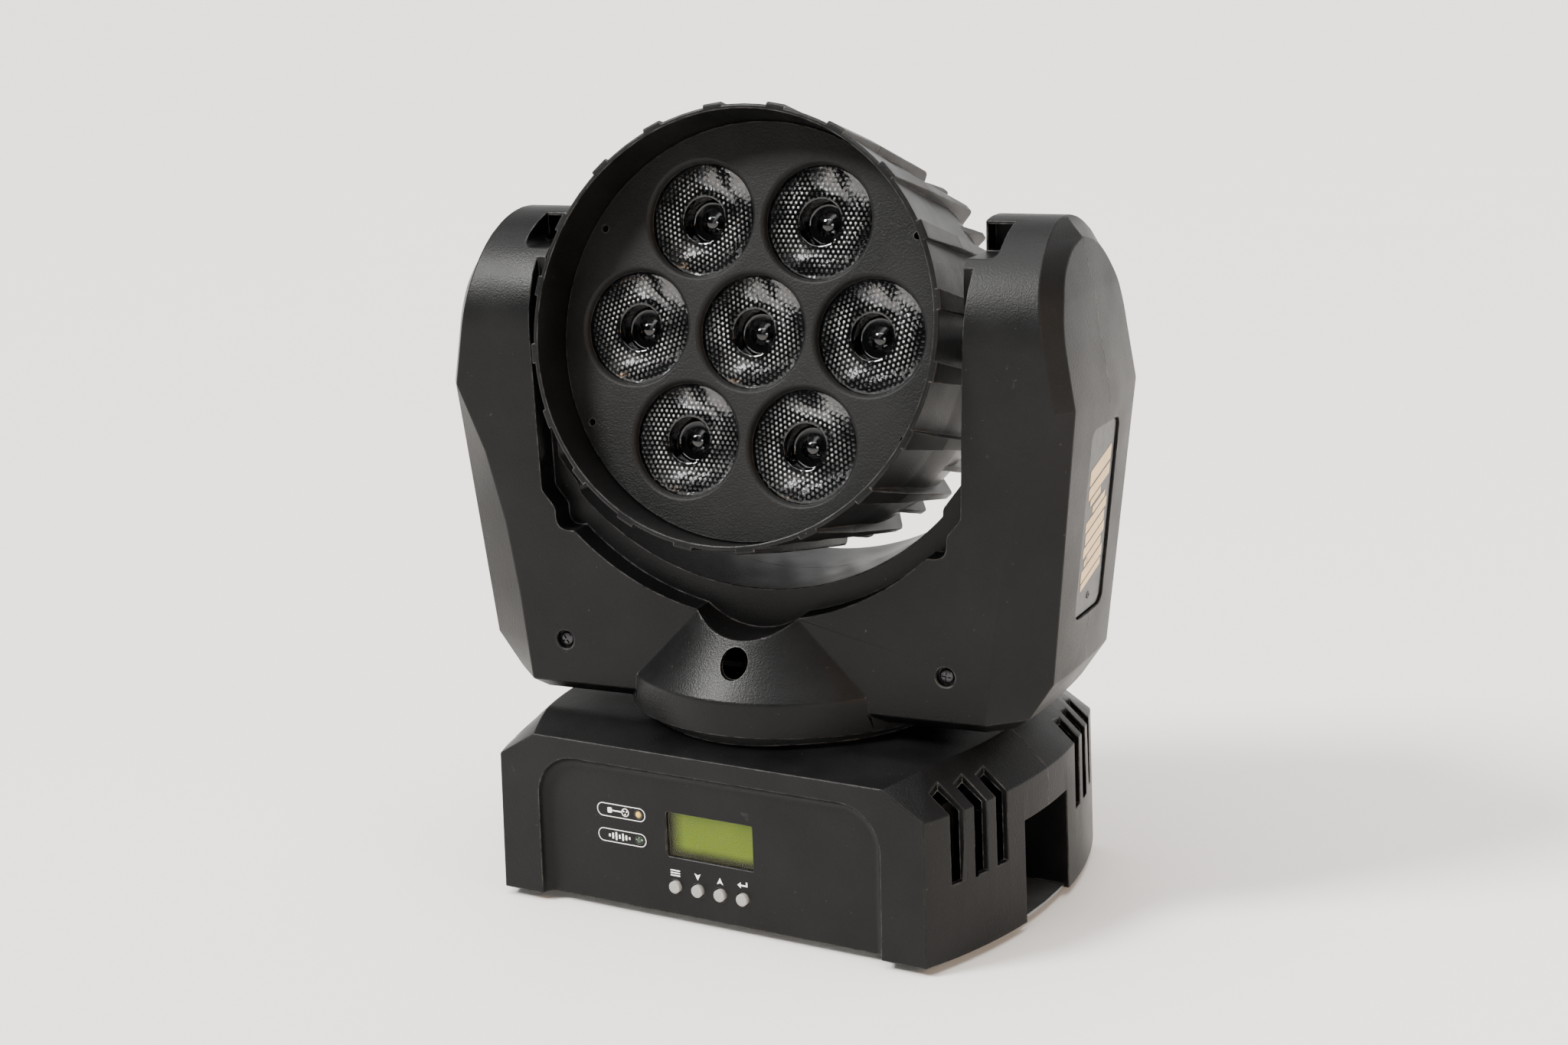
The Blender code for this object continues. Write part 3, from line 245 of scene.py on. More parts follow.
def frame_of(bm, axis, outer, inner, start, end):
    """A flat band between two outlines with the same number of points."""
    rings = []
    for outline, along in ((outer, start), (outer, end), (inner, end), (inner, start)):
        rings.append([spot(axis, along, u, v) for u, v in outline])
    loft(bm, rings, closed=True)


def turned(bm, axis, profile, segments, centre=(0, 0)):
    """Turn (radius, height) points about an axis. A profile that leaves the axis is closed into a ring."""
    rows = []
    for radius, height in profile:
        ring = circle(radius, segments, centre) if radius else [centre]
        rows.append([bm.verts.new(spot(axis, height, u, v)) for u, v in ring])
    pairs = list(zip(rows, rows[1:]))
    if profile[0][0]:
        pairs.append((rows[-1], rows[0]))
    for first, second in pairs:
        for i in range(segments):
            j = (i + 1) % segments
            corners = [row[k % len(row)] for row, k in ((first, i), (first, j), (second, j), (second, i))]
            bm.faces.new(list(dict.fromkeys(corners)))


def hull(bm, points):
    verts = [bm.verts.new(point) for point in points]
    made = bmesh.ops.convex_hull(bm, input=verts)
    spare = {v for v in made["geom_interior"] + made["geom_unused"] if isinstance(v, bmesh.types.BMVert)}
    bmesh.ops.delete(bm, geom=list(spare), context="VERTS")


def shape(draw, *args, **settings):
    """A new shape with one form drawn in it."""
    bm = bmesh.new()
    draw(bm, *args, **settings)
    return bm


def object_of(name, bm):
    bmesh.ops.recalc_face_normals(bm, faces=bm.faces[:])
    mesh = bpy.data.meshes.new(name)
    bm.to_mesh(mesh)
    bm.free()
    obj = bpy.data.objects.new(name, mesh)
    bpy.context.scene.collection.objects.link(obj)
    return obj


def carved(bm, *steps):
    """The shape after its cuts and joins, each given as ("cut" or "join", shape)."""
    target = object_of("carving", bm)
    tools = []
    for kind, tool in steps:
        tools.append(object_of("tool", tool))
        modifier = target.modifiers.new("carve", "BOOLEAN")
        modifier.operation = {"cut": "DIFFERENCE", "join": "UNION"}[kind]
        modifier.solver = "MANIFOLD"
        modifier.object = tools[-1]
    bpy.context.view_layer.update()
    graph = bpy.context.evaluated_depsgraph_get()
    mesh = bpy.data.meshes.new_from_object(target.evaluated_get(graph))
    made = bmesh.new()
    made.from_mesh(mesh)
    bpy.data.meshes.remove(mesh)
    for obj in (target, *tools):
        spare = obj.data
        bpy.data.objects.remove(obj)
        bpy.data.meshes.remove(spare)
    return made


def softened(bm, width, angle=28):
    """The shape with its flat stretches merged and its sharp edges rounded."""
    bmesh.ops.remove_doubles(bm, verts=bm.verts[:], dist=0.00001)
    bmesh.ops.dissolve_limit(bm, angle_limit=radians(0.7), verts=bm.verts[:], edges=bm.edges[:])
    sharp = [e for e in bm.edges if len(e.link_faces) == 2 and e.calc_face_angle(0) > radians(angle)]
    bmesh.ops.bevel(
        bm,
        geom=sharp,
        offset=width,
        offset_type="OFFSET",
        segments=2,
        profile=0.5,
        affect="EDGES",
        clamp_overlap=False,
    )
    return bm


def piece(name, bm, finish, body, place=BASE, replaces=(), smooth=38, own=False):
    """A piece of the light that rides on a body of the frame, with an origin of its own if own is set."""
    obj = object_of(name, bm)
    if own:
        obj.matrix_world = place
    else:
        obj.data.transform(place)
    obj.data.materials.append(finish)
    obj.data.shade_smooth()
    obj.data.set_sharp_from_angle(angle=radians(smooth))
    even = obj.modifiers.new("even_shading", "WEIGHTED_NORMAL")
    even.keep_sharp = True
    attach(obj, body)
    if replaces:
        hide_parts(*replaces)
    return obj


# ---------------------------------------------------------------- materials


class Tree:
    """A node tree with short ways to add nodes. A value that is a socket is linked, and any other is set."""

    def __init__(self, tree, coordinates):
        self.tree = tree
        self.where = self.node("TexCoord").outputs[coordinates]

    def put(self, socket, value):
        if isinstance(value, bpy.types.NodeSocket):
            self.tree.links.new(value, socket)
        else:
            socket.default_value = value

    def node(self, kind, inputs=None, **settings):
        made = self.tree.nodes.new("ShaderNode" + kind)
        for key, value in settings.items():
            setattr(made, key, value)
        for key, value in (inputs or {}).items():
            self.put(made.inputs[key], value)
        return made

    def maths(self, operation, *values):
        return self.node("Math", dict(enumerate(values)), operation=operation).outputs[0]

    def vector(self, operation, *values):
        return self.node("VectorMath", dict(enumerate(values)), operation=operation).outputs

    def product(self, first, second):
        return self.maths("MULTIPLY", first, second)

    def noise(self, scale, detail=2.0, roughness=0.5, where=None):
        where = self.where if where is None else where
        inputs = {"Vector": where, "Scale": scale, "Detail": detail, "Roughness": roughness}
        return self.node("TexNoise", inputs).outputs["Fac"]

    def waves(self, direction):
        inputs = {"Vector": self.where, "Scale": 160.0, "Distortion": 0.0}
        return self.node("TexWave", inputs, bands_direction=direction).outputs["Fac"]

    def ranged(self, value, low, high, to_low=0.0, to_high=1.0):
        inputs = {"Value": value, "From Min": low, "From Max": high, "To Min": to_low, "To Max": to_high}
        return self.node("MapRange", inputs).outputs["Result"]

    def mixed(self, factor, *colours):
        made = self.node("Mix", {0: factor}, data_type="RGBA")
        for index, colour in enumerate(colours, 6):
            self.put(made.inputs[index], (*colour, 1.0) if isinstance(colour, tuple) else colour)
        return made.outputs[2]


class Finish(Tree):
    """A material in object coordinates, with constants set on its shader."""

    def __init__(self, name, **constants):
        self.material = bpy.data.materials.new(name)
        self.material.use_nodes = True
        super().__init__(self.material.node_tree, "Object")
        self.shade(**constants)

    def shade(self, **inputs):
        """Set or link inputs of the shader, with underscores for the spaces in their names."""
        shader = self.tree.nodes["Principled BSDF"]
        for key, value in inputs.items():
            self.put(shader.inputs[key.replace("_", " ")], value)

    def bump(self, height, distance, strength):
        made = self.node("Bump", {"Height": height, "Distance": distance, "Strength": strength})
        self.shade(Normal=made.outputs["Normal"])


def edge_wear_and_highlight_mask(m):
    """High along outer edges, broken up in patches: worn edges, with a painted highlight along them."""
    rounded = m.node("Bevel", {"Radius": 0.0009}, samples=6).outputs["Normal"]
    flat = m.node("NewGeometry").outputs["Normal"]
    edge = m.ranged(m.vector("DOT_PRODUCT", rounded, flat)["Value"], 0.995, 0.9)
    return m.product(edge, m.ranged(m.noise(160, 4.0, 0.65), 0.4, 0.62, 0.1))


def moulded_plastic(name, colour, grain=0.00018, roughness=0.37, edge_wear_and_highlight=0.5):
    """Black moulded plastic with a fine grain, dusty patches, small scratches, and edges lightened as worn
    and as a painted highlight.
    """
    m = Finish(name, Specular_IOR_Level=0.14)
    broad = m.noise(24, 3.0, 0.55)
    tint = m.mixed(m.ranged(broad, 0.35, 0.7), colour, tuple(c * 1.6 + 0.001 for c in colour))
    specks = m.ranged(m.noise(620, 1.0), 0.775, 0.81, 0.0, 0.25)
    tint = m.mixed(specks, tint, (0.1, 0.09, 0.08))
    stretched = m.node("Mapping", {"Vector": m.where, "Rotation": (0.5, 0.3, 0.8), "Scale": (1, 14, 1)})
    scuffs = m.ranged(m.noise(60, 3.0, 0.7, stretched.outputs["Vector"]), 0.71, 0.77, 0.0, 0.14)
    tint = m.mixed(scuffs, tint, (0.12, 0.11, 0.1))
    # Edges lightened: worn edges and a painted highlight along them.
    tint = m.mixed(m.product(edge_wear_and_highlight_mask(m), edge_wear_and_highlight), tint, (0.105, 0.1, 0.095))
    m.shade(Base_Color=tint, Roughness=m.ranged(broad, 0.3, 0.7, roughness - 0.05, roughness + 0.07))
    m.bump(m.noise(1100, 3.0, 0.6), grain, 0.8)
    return m.material


def smooth_plastic(name, colour, roughness, shine=0.5):
    m = Finish(name, Specular_IOR_Level=shine)
    tint = m.mixed(m.ranged(m.noise(60, 3.0), 0.3, 0.7), colour, tuple(c * 0.86 for c in colour))
    gloss = m.ranged(m.noise(240, 3.0), 0.3, 0.7, roughness - 0.05, roughness + 0.06)
    m.shade(Base_Color=tint, Roughness=gloss)
    m.bump(m.noise(2200), 0.00001, 0.6)
    return m.material


def metal(name, colour, roughness, brushed=1.0):
    """Metal with fine lines along X when brushed is over 1."""
    m = Finish(name, Metallic=1.0)
    lines = m.node("Mapping", {"Vector": m.where, "Scale": (1, brushed, brushed)}).outputs["Vector"]
    tint = m.mixed(m.ranged(m.noise(90, 3.0), 0.3, 0.7), colour, tuple(c * 0.8 for c in colour))
    gloss = m.ranged(m.noise(500, 3.0, where=lines), 0.3, 0.7, roughness - 0.08, roughness + 0.08)
    m.shade(Base_Color=tint, Roughness=gloss)
    m.bump(m.noise(900, where=lines), 0.00001, 0.5)
    return m.material


def rubber(name):
    m = Finish(name, Specular_IOR_Level=0.3)
    tint = m.mixed(m.noise(90, 4.0), (0.012, 0.012, 0.012), (0.045, 0.042, 0.04))
    m.shade(Base_Color=tint, Roughness=m.ranged(m.noise(400), 0.3, 0.7, 0.75, 0.9))
    m.bump(m.noise(1600, 3.0), 0.00004, 0.7)
    return m.material


def circuit_board(name, colour):
    """Coated board with fine tracks."""
    m = Finish(name, Roughness=0.35)
    bricks = {"Vector": m.where, "Scale": 90.0, "Mortar Size": 0.012}
    tracks = m.node("TexBrick", bricks, offset=0.5).outputs["Fac"]
    m.shade(Base_Color=m.mixed(tracks, colour, tuple(c * 1.9 + 0.01 for c in colour)))
    m.bump(tracks, 0.00003, 0.6)
    return m.material


def clear_window(name):
    """A thin clear pane with faint smears."""
    m = Finish(name, IOR=1.16, Transmission_Weight=1.0)
    smears = m.noise(130, 3.0, 0.6)
    tint = m.mixed(smears, (0.96, 0.97, 0.97), (0.9, 0.91, 0.9))
    m.shade(Base_Color=tint, Roughness=m.ranged(smears, 0.4, 0.75, 0.01, 0.06))
    return m.material


def moulded_optic(name):
    """Clear plastic tinted dark grey as painted shade, with a painted highlight on each small dome and a
    scatter of painted sparkle.
    """
    m = Finish(name, IOR=1.49, Specular_IOR_Level=0.3)
    split = m.node("SeparateXYZ", {"Vector": m.where}).outputs
    flat = m.node("CombineXYZ", {"X": split["X"], "Z": split["Z"]}).outputs["Vector"]
    radius = m.vector("LENGTH", flat)["Value"]
    cell = (LENS_PITCH / 2, 1.0, LENS_PITCH * sqrt(3) / 2)
    near = []
    for shift in ((0.0, 0.0, 0.0), (cell[0], 0.0, cell[2])):
        start = m.vector("ADD", flat, shift)["Vector"]
        inside = m.vector("WRAP", start, cell, tuple(-c for c in cell))["Vector"]
        near.append(m.vector("LENGTH", inside)["Value"])
    painted_glint_dots = m.ranged(m.maths("MINIMUM", *near), 0.0007, 0.00034)
    face = m.ranged(split["Y"], -0.0345, -0.035)
    ring = m.product(m.ranged(radius, 0.0106, 0.0125), m.ranged(radius, 0.0238, 0.015, 0.12))
    uneven = m.ranged(m.noise(75, 2.0, 0.6), 0.4, 0.6, 0.1)
    painted_glints = m.ranged(m.noise(620, 2.0, 0.6), 0.6, 0.68, 0.0, 0.7)
    painted_glints = m.product(painted_glints, m.ranged(m.noise(60, 1.0), 0.5, 0.62))
    both = m.maths("MAXIMUM", painted_glint_dots, painted_glints)
    painted_highlights = m.product(m.product(both, face), m.product(ring, uneven))
    smear = m.ranged(m.noise(130, 3.0), 0.4, 0.75, 0.03, 0.1)
    # The grey base colour is painted shade; the silver metal marks are painted highlight on the domes and
    # painted sparkle.
    m.shade(
        Base_Color=m.mixed(painted_highlights, (0.08, 0.081, 0.083), (0.97, 0.97, 0.95)),
        Metallic=painted_highlights,
        Transmission_Weight=m.ranged(painted_highlights, 0.0, 1.0, 1.0, 0.0),
        Roughness=m.maths("MULTIPLY_ADD", painted_highlights, 0.26, smear),
    )
    return m.material


def display(name):
    """Unlit yellow-green liquid crystal display with faint dot rows, darker to its lower left with border
    and painted shadow.
    """
    m = Finish(name, Roughness=0.4, Specular_IOR_Level=0.12)
    split = m.node("SeparateXYZ", {"Vector": m.where}).outputs
    tint = m.mixed(m.noise(70), (0.115, 0.17, 0.004), (0.135, 0.19, 0.008))
    tint = m.mixed(m.product(m.waves("Z"), 0.07), tint, (0.06, 0.09, 0.006))
    # The dark margin at the left and bottom is the display's dark border and a painted shadow of the
    # window's wall.
    for border_and_painted_shadow in (m.ranged(split["X"], -0.0215, -0.015), m.ranged(split["Z"], 0.0285, 0.0325)):
        tint = m.mixed(border_and_painted_shadow, (0.03, 0.03, 0.01), tint)
    m.shade(Base_Color=tint)
    return m.material


def make_white_printing_and_glints(name):
    """White printing with a few chips, also used for the painted glint marks on the sound lamp."""
    m = Finish(name, Roughness=0.5)
    chips = m.ranged(m.noise(1100), 0.62, 0.7, 0.0, 0.5)
    m.shade(Base_Color=m.mixed(chips, (0.78, 0.77, 0.74), (0.3, 0.29, 0.28)))
    return m.material


def belt_rubber(name):
    """Toothed belt: fine ribs across it."""
    m = Finish(name, Roughness=0.8)
    ribs = m.waves("DIAGONAL")
    m.shade(Base_Color=m.mixed(ribs, (0.01, 0.01, 0.01), (0.03, 0.03, 0.03)))
    m.bump(ribs, 0.0004, 0.8)
    return m.material


MAT = {
    "shell": moulded_plastic("textured_black", (0.0026, 0.0026, 0.0027), edge_wear_and_highlight=1.0),
    "face": moulded_plastic(
        "grained_black", (0.0048, 0.0048, 0.0047), grain=0.00034, roughness=0.46, edge_wear_and_highlight=0.7
    ),
    "smooth": smooth_plastic("smooth_black", (0.013, 0.013, 0.014), 0.3),
    "button": smooth_plastic("button_grey", (0.27, 0.265, 0.25), 0.42),
    "steel": metal("zinc_steel", (0.34, 0.35, 0.35), 0.42, 12),
    "bright": metal("turned_steel", (0.52, 0.52, 0.53), 0.3, 6),
    "aluminium": metal("plain_aluminium", (0.6, 0.61, 0.62), 0.38, 8),
    "screw": metal("black_screw", (0.055, 0.055, 0.058), 0.36),
    "black_sheet": moulded_plastic("black_powder_coat", (0.015, 0.015, 0.0155), grain=0.00008, edge_wear_and_highlight=0.3),
    "motor": moulded_plastic("motor_black", (0.016, 0.016, 0.018), grain=0.00002, roughness=0.4, edge_wear_and_highlight=0.6),
    "rubber": rubber("foot_rubber"),
    "belt": belt_rubber("belt_rubber"),
    "board": circuit_board("green_board", (0.012, 0.085, 0.032)),
    "led_board": circuit_board("dark_board", (0.01, 0.011, 0.011)),
    "optic": moulded_optic("clear_optic"),
    "window": clear_window("clear_window"),
    "display": display("display_green"),
    "white_printing_and_glints": make_white_printing_and_glints("white_printing_and_painted_glints"),
    "amber": smooth_plastic("amber_lamp", (0.62, 0.38, 0.07), 0.18),
    "dark_lamp": smooth_plastic("dark_lamp", (0.02, 0.045, 0.022), 0.12),
    "badge": smooth_plastic("badge_plate", (0.006, 0.0065, 0.0075), 0.2, shine=0.12),
    "badge_print": smooth_plastic("badge_blocks", (0.8, 0.6, 0.36), 0.55, shine=0.08),
    "emitter": smooth_plastic("yellow_emitter", (0.6, 0.52, 0.16), 0.35),
}


# ---------------------------------------------------------------- base


def side_x(y, corner, bulge, half_depth):
    """Half width at a depth, on the arc through the corners that swells by bulge."""
    radius = (half_depth**2 + bulge**2) / (2 * bulge)
    return corner + bulge - radius + sqrt(radius**2 - y**2)


def base_solid(inset, half_depth, floor, steps=30):
    upper = half_depth if inset else half_depth - BASE_DRAFT
    points = []
    for share in np.linspace(-1, 1, steps + 1):
        y = share * half_depth
        x = side_x(y, BASE_CORNER - inset, BASE_BULGE, BASE_HALF_DEPTH)
        points.append((x, y, floor))
        y = share * upper
        x = side_x(y, BASE_CORNER - inset - BASE_DRAFT, BASE_BULGE, BASE_HALF_DEPTH)
        points.append((x, y, BASE_WALL_TOP - inset / 3))
        x = side_x(y, BASE_BROW_HALF - inset, BASE_TOP_BULGE, BASE_HALF_DEPTH - BASE_DRAFT)
        beyond = max(0.0, abs(y) - BASE_TOP_FLAT) / (BASE_HALF_DEPTH - BASE_DRAFT - BASE_TOP_FLAT)
        points.append((x, y, BASE_TOP - inset - beyond * (BASE_TOP - BASE_BROW)))
    points += [(-x, y, z) for x, y, z in points]
    return shape(hull, points)


def panel_recess():
    """The hollow in the front face, with coved walls down to the panel."""
    depth = PANEL_Y + BASE_HALF_DEPTH
    rings = []
    for y, inset in [(-BASE_HALF_DEPTH - 0.003, 0.0)] + [
        (-BASE_HALF_DEPTH + depth * sin(a), PANEL_COVE * (1 - cos(a)))
        for a in np.radians(np.linspace(0, 90, 8))
    ]:
        half, top, corner = PANEL_HALF - inset, PANEL_TOP - inset, PANEL_CORNER - inset
        right = arc((half - corner, top - corner), corner, 0, 90, 14)
        outline = [(half, -0.005)] + right + [(-x, z) for x, z in reversed(right)] + [(-half, -0.005)]
        rings.append([(x, y, z) for x, z in outline])
    return shape(loft, rings)


def side_openings(end):
    """The vents and hand holds of one half of the base."""
    bm = bmesh.new()
    for side in (-1, 1):
        for place in range(3):
            y = end * (VENT_FIRST + place * VENT_PITCH)
            inner = 0.0077 + side_x(y, BASE_BROW_HALF, BASE_TOP_BULGE, BASE_HALF_DEPTH - BASE_DRAFT)
            xs = sorted((side * inner, side * 0.15))
            box(bm, (xs[0], y - VENT_WIDTH / 2, VENT_FOOT), (xs[1], y + VENT_WIDTH / 2, 0.1))
        xs = sorted((side * 0.098, side * 0.16))
        box(bm, (xs[0], -GRIP_HALF, -0.01), (xs[1], GRIP_HALF, GRIP_TOP))
    return bm


def socket_plate_outline(inset):
    middle = (SOCKET_PLATE_LOW + SOCKET_PLATE_HIGH) / 2
    half_height = (SOCKET_PLATE_HIGH - SOCKET_PLATE_LOW) / 2
    return rounded_rectangle(SOCKET_PLATE_HALF - inset, half_height - inset, 0.004 - inset, 6, (0, middle))


def hold_lining(end):
    """The moulded top and end wall of both hand holds, on one half of the base."""
    foot, top = PLATE_THICKNESS + GAP, GRIP_TOP + WALL
    near, far = end * GRIP_HALF, end * (GRIP_HALF + WALL)
    outline = [(0, top), (far, top), (far, foot), (near, foot), (near, GRIP_TOP), (0, GRIP_TOP)]
    bm = bmesh.new()
    for side in (-1, 1):
        prism(bm, "X", outline, side * (BRIDGE_HALF + 0.0005), side * 0.1245)
    return bm


def base_shell(name, end, extra_outer, extra_late):
    outer = base_solid(0, BASE_HALF_DEPTH, 0.0)
    solid = softened(carved(outer, ("cut", side_openings(end)), *extra_outer), 0.00055)
    collar = shape(
        turned, "Z", [(0.066, 0.079), (0.07, 0.079), (0.07, 0.0842), (0.0696, 0.0846), (0.066, 0.0846)], 96
    )
    other_side = sorted((-end * 0.15, end * GAP / 2))
    steps = [
        ("join", collar),
        ("cut", base_solid(WALL, CAVITY_HALF_DEPTH, -0.01, 14)),
        ("cut", shape(prism, "Z", circle(0.03, 48), 0.06, 0.1)),
        ("join", hold_lining(end)),
        *extra_late,
        ("cut", shape(box, (-0.16, other_side[0], -0.02), (0.16, other_side[1], 0.12))),
    ]
    piece(name + "_skin", carved(solid, *steps), MAT["shell"], "base", BASE, [name])


def front_holes():
    """The window, key and lamp holes in the panel, the window and key holes with a small chamfer."""
    bm = bmesh.new()
    rings = []
    middle = (LCD_LOW + LCD_HIGH) / 2
    half_height = (LCD_HIGH - LCD_LOW) / 2
    for y, grow in (
        (PANEL_Y - 0.002, 0.0006), (PANEL_Y - 0.0001, 0.0006), (PANEL_Y + 0.0005, 0.0), (-0.075, 0.0)
    ):
        outline = rounded_rectangle(LCD_HALF + grow, half_height + grow, 0.0006, 2, (0, middle))
        rings.append([(x, y, z) for x, z in outline])
    loft(bm, rings)
    for x in BUTTONS.values():
        radius = BUTTON_RADIUS + GAP
        profile = [(0, PANEL_Y - 0.002), (radius + 0.0003, PANEL_Y - 0.002), (radius + 0.0003, PANEL_Y)]
        turned(
            bm,
            "Y",
            profile + [(radius, PANEL_Y + 0.0003), (radius, -0.075), (0, -0.075)],
            40,
            (x, BUTTON_HEIGHT),
        )
    for z in INDICATORS.values():
        prism(bm, "Y", circle(0.0018, 24, (INDICATOR_X, z)), -0.09, -0.075)
    return bm


def make_base():
    base_shell("base_front_shell", -1, [("cut", panel_recess())], [("cut", front_holes())])
    opening = shape(prism, "Y", socket_plate_outline(0), 0.07, 0.1)
    base_shell("base_rear_shell", 1, [], [("cut", opening)])
    for index in range(1, 5):
        low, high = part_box(f"foot_{index}")
        centre = (low + high) / 2
        profile = [(0, -0.004), (0.0034, -0.004), (0.0036, -0.0032), (0.0046, -0.0032), (0.005, -0.004)]
        profile += [(0.0078, -0.004), (0.0084, -0.0036), (0.0092, -0.0008), (0.009, -GAP), (0, -GAP)]
        foot = shape(turned, "Z", profile, 48)
        place = Matrix.Translation((centre.x, centre.y, 0))
        piece(f"rubber_foot_{index}", foot, MAT["rubber"], "base", place, [f"foot_{index}"])


# ---------------------------------------------------------------- control panel

PRINT = 0.00006  # how far printing stands out of the panel


def printing_and_painted_glints(name, outlines):
    """Flat white forms on the panel: printing, and the painted glint marks of the sound lamp. An outline may
    be a pair, outer and inner, for a ring.
    """
    bm = bmesh.new()
    ys = (PANEL_Y - PRINT, PANEL_Y + PRINT)
    for outline in outlines:
        if isinstance(outline, tuple):
            frame_of(bm, "Y", *outline, *ys)
        else:
            prism(bm, "Y", outline, *ys)
    piece(name, bm, MAT["white_printing_and_glints"], "base")


def moved(outline, x, z):
    return [(u + x, v + z) for u, v in outline]


def bar(x, z, half_width, half_height):
    return rounded_rectangle(half_width, half_height, min(half_width, half_height) * 0.5, 3, (x, z))


def ring_outline(x, z, radius, thickness):
    return circle(radius, 32, (x, z)), circle(radius - thickness, 32, (x, z))


def make_panel():
    middle = (LCD_LOW + LCD_HIGH) / 2
    half_height = (LCD_HIGH - LCD_LOW) / 2
    window = shape(box, (-LCD_HALF + GAP, -0.0812, LCD_LOW + GAP), (LCD_HALF - GAP, -0.0804, LCD_HIGH - GAP))
    piece("lcd_window_pane", window, MAT["window"], "base", BASE, ["lcd_window"])
    reach = half_height + 0.005
    glass = shape(box, (-0.0265, -0.0794, middle - reach), (0.0265, -0.0745, middle + reach))
    piece(
        "lcd_display", softened(glass, 0.0002), MAT["display"], "base", BASE, ["lcd_module"]
    )
    for name, x in BUTTONS.items():
        radius = BUTTON_RADIUS
        dome = [
            (radius * sin(a) * 0.86, -0.00176 + 0.0001 * (1 - cos(a))) for a in np.radians((0, 30, 60, 90))
        ]
        dome[0] = (0, dome[0][1])
        profile = dome + [
            (radius * 0.95, -0.00157), (radius * 0.99, -0.0014), (radius, -0.0011), (radius, 0.0032)
        ]
        profile += [(0.004, 0.0032), (0.004, 0.0042), (radius, 0.0042), (radius, 0.0052), (0, 0.0052)]
        cap = shape(turned, "Y", profile, 48)
        place = Matrix.Translation((x, PANEL_Y, BUTTON_HEIGHT))
        piece(f"{name}_cap", cap, MAT["button"], f"{name}_key", place, [f"{name}_button"])
    for name, z in INDICATORS.items():
        dome = [(0.0015 * sin(a), -0.0824 - 0.0007 * cos(a)) for a in np.radians(np.linspace(0, 90, 6))]
        dome[0] = (0, dome[0][1])
        lamp = shape(turned, "Y", dome + [(0.0015, -0.074), (0, -0.074)], 32)
        colour, slot = ("amber", "amber_lamp") if name == "dmx" else ("dark_lamp", "smooth_black")
        place = Matrix.Translation((INDICATOR_X, 0, z))
        piece(f"{name}_lamp", lamp, MAT[colour], "base", place, [f"{name}_indicator"])
        outer = rounded_rectangle(0.013, 0.0032, 0.0031, 10, (-0.0464, z))
        inner = rounded_rectangle(0.01265, 0.00285, 0.00275, 10, (-0.0464, z))
        printing_and_painted_glints(f"{name}_outline", [(outer, inner)])
    z = INDICATORS["dmx"]
    plug = [ring_outline(-0.0442, z, 0.002, 0.0004)]
    for angle in np.radians((30, 150, 270)):
        plug.append(circle(0.00042, 12, (-0.0442 + 0.0009 * cos(angle), z + 0.0009 * sin(angle))))
    plug += [bar(-0.0488, z, 0.0024, 0.0003), bar(-0.0526, z, 0.0012, 0.0013)]
    printing_and_painted_glints("data_icon", plug)
    z = INDICATORS["sound"]
    heights = (0.0007, 0.0014, 0.0019, 0.001, 0.0017, 0.0012, 0.0006)
    # The two white marks on the sound lamp are painted reflections of light, not printing.
    painted_glint_dots = [circle(0.00032, 12, (x, z + 0.0002)) for x in (-0.0384, -0.0358)]
    printing_and_painted_glints("sound_lamp_painted_glints", painted_glint_dots)
    printing_and_painted_glints("sound_icon", [bar(-0.0532 + 0.0018 * i, z, 0.00046, h) for i, h in enumerate(heights)])
    z = 0.02
    printing_and_painted_glints("menu_icon", [bar(BUTTONS["menu"], z + k * 0.0012, 0.0025, 0.0003) for k in (-1, 0, 1)])
    tip = [(0.0, -0.0016), (0.0016, 0.0016), (0.0, 0.0008), (-0.0016, 0.0016)]
    printing_and_painted_glints("down_icon", [moved(tip, BUTTONS["down"], z)])
    printing_and_painted_glints("up_icon", [moved([(u, -v) for u, v in tip], BUTTONS["up"], z)])
    x = BUTTONS["enter"]
    back = [
        (-0.0026, 0),
        (-0.0009, 0.0014),
        (-0.0009, 0.0003),
        (0.0018, 0.0003),
        (0.0018, 0.0017),
        (0.0025, 0.0017),
    ]
    back += [(0.0025, -0.0004), (-0.0009, -0.0004), (-0.0009, -0.0014)]
    printing_and_painted_glints("enter_icon", [moved(back, x, z)])


# ---------------------------------------------------------------- yoke


def yoke_ring(z, dome_radius, inset_side, inset_front, crown_steps):
    half_front = np.interp(z, *zip(*FRONT_EDGE)) - inset_side / 2
    middle = np.interp(z, *zip(*SIDE_FACE)) - inset_side
    depth = np.interp(z, *zip(*FRONT_DEPTH)) - inset_front
    side_depth = np.interp(z, *zip(*SIDE_DEPTH)) - inset_front
    rise = max(0.0, z - DOME_HEIGHT)
    if rise:
        depth = sqrt(max(0.0, dome_radius**2 - rise**2))
        side_depth = sqrt(max(0.0, (SIDE_DOME - inset_front) ** 2 - rise**2))
    right = [(half_front, -depth)]
    for share in np.linspace(-1, 1, crown_steps + 1):
        right.append((middle - SIDE_CROWN * (share * side_depth / SIDE_DOME) ** 2, share * side_depth))
    right.append((half_front, depth))
    return [(x, y, z) for x, y in right] + [(-x, y, z) for x, y in reversed(right)]


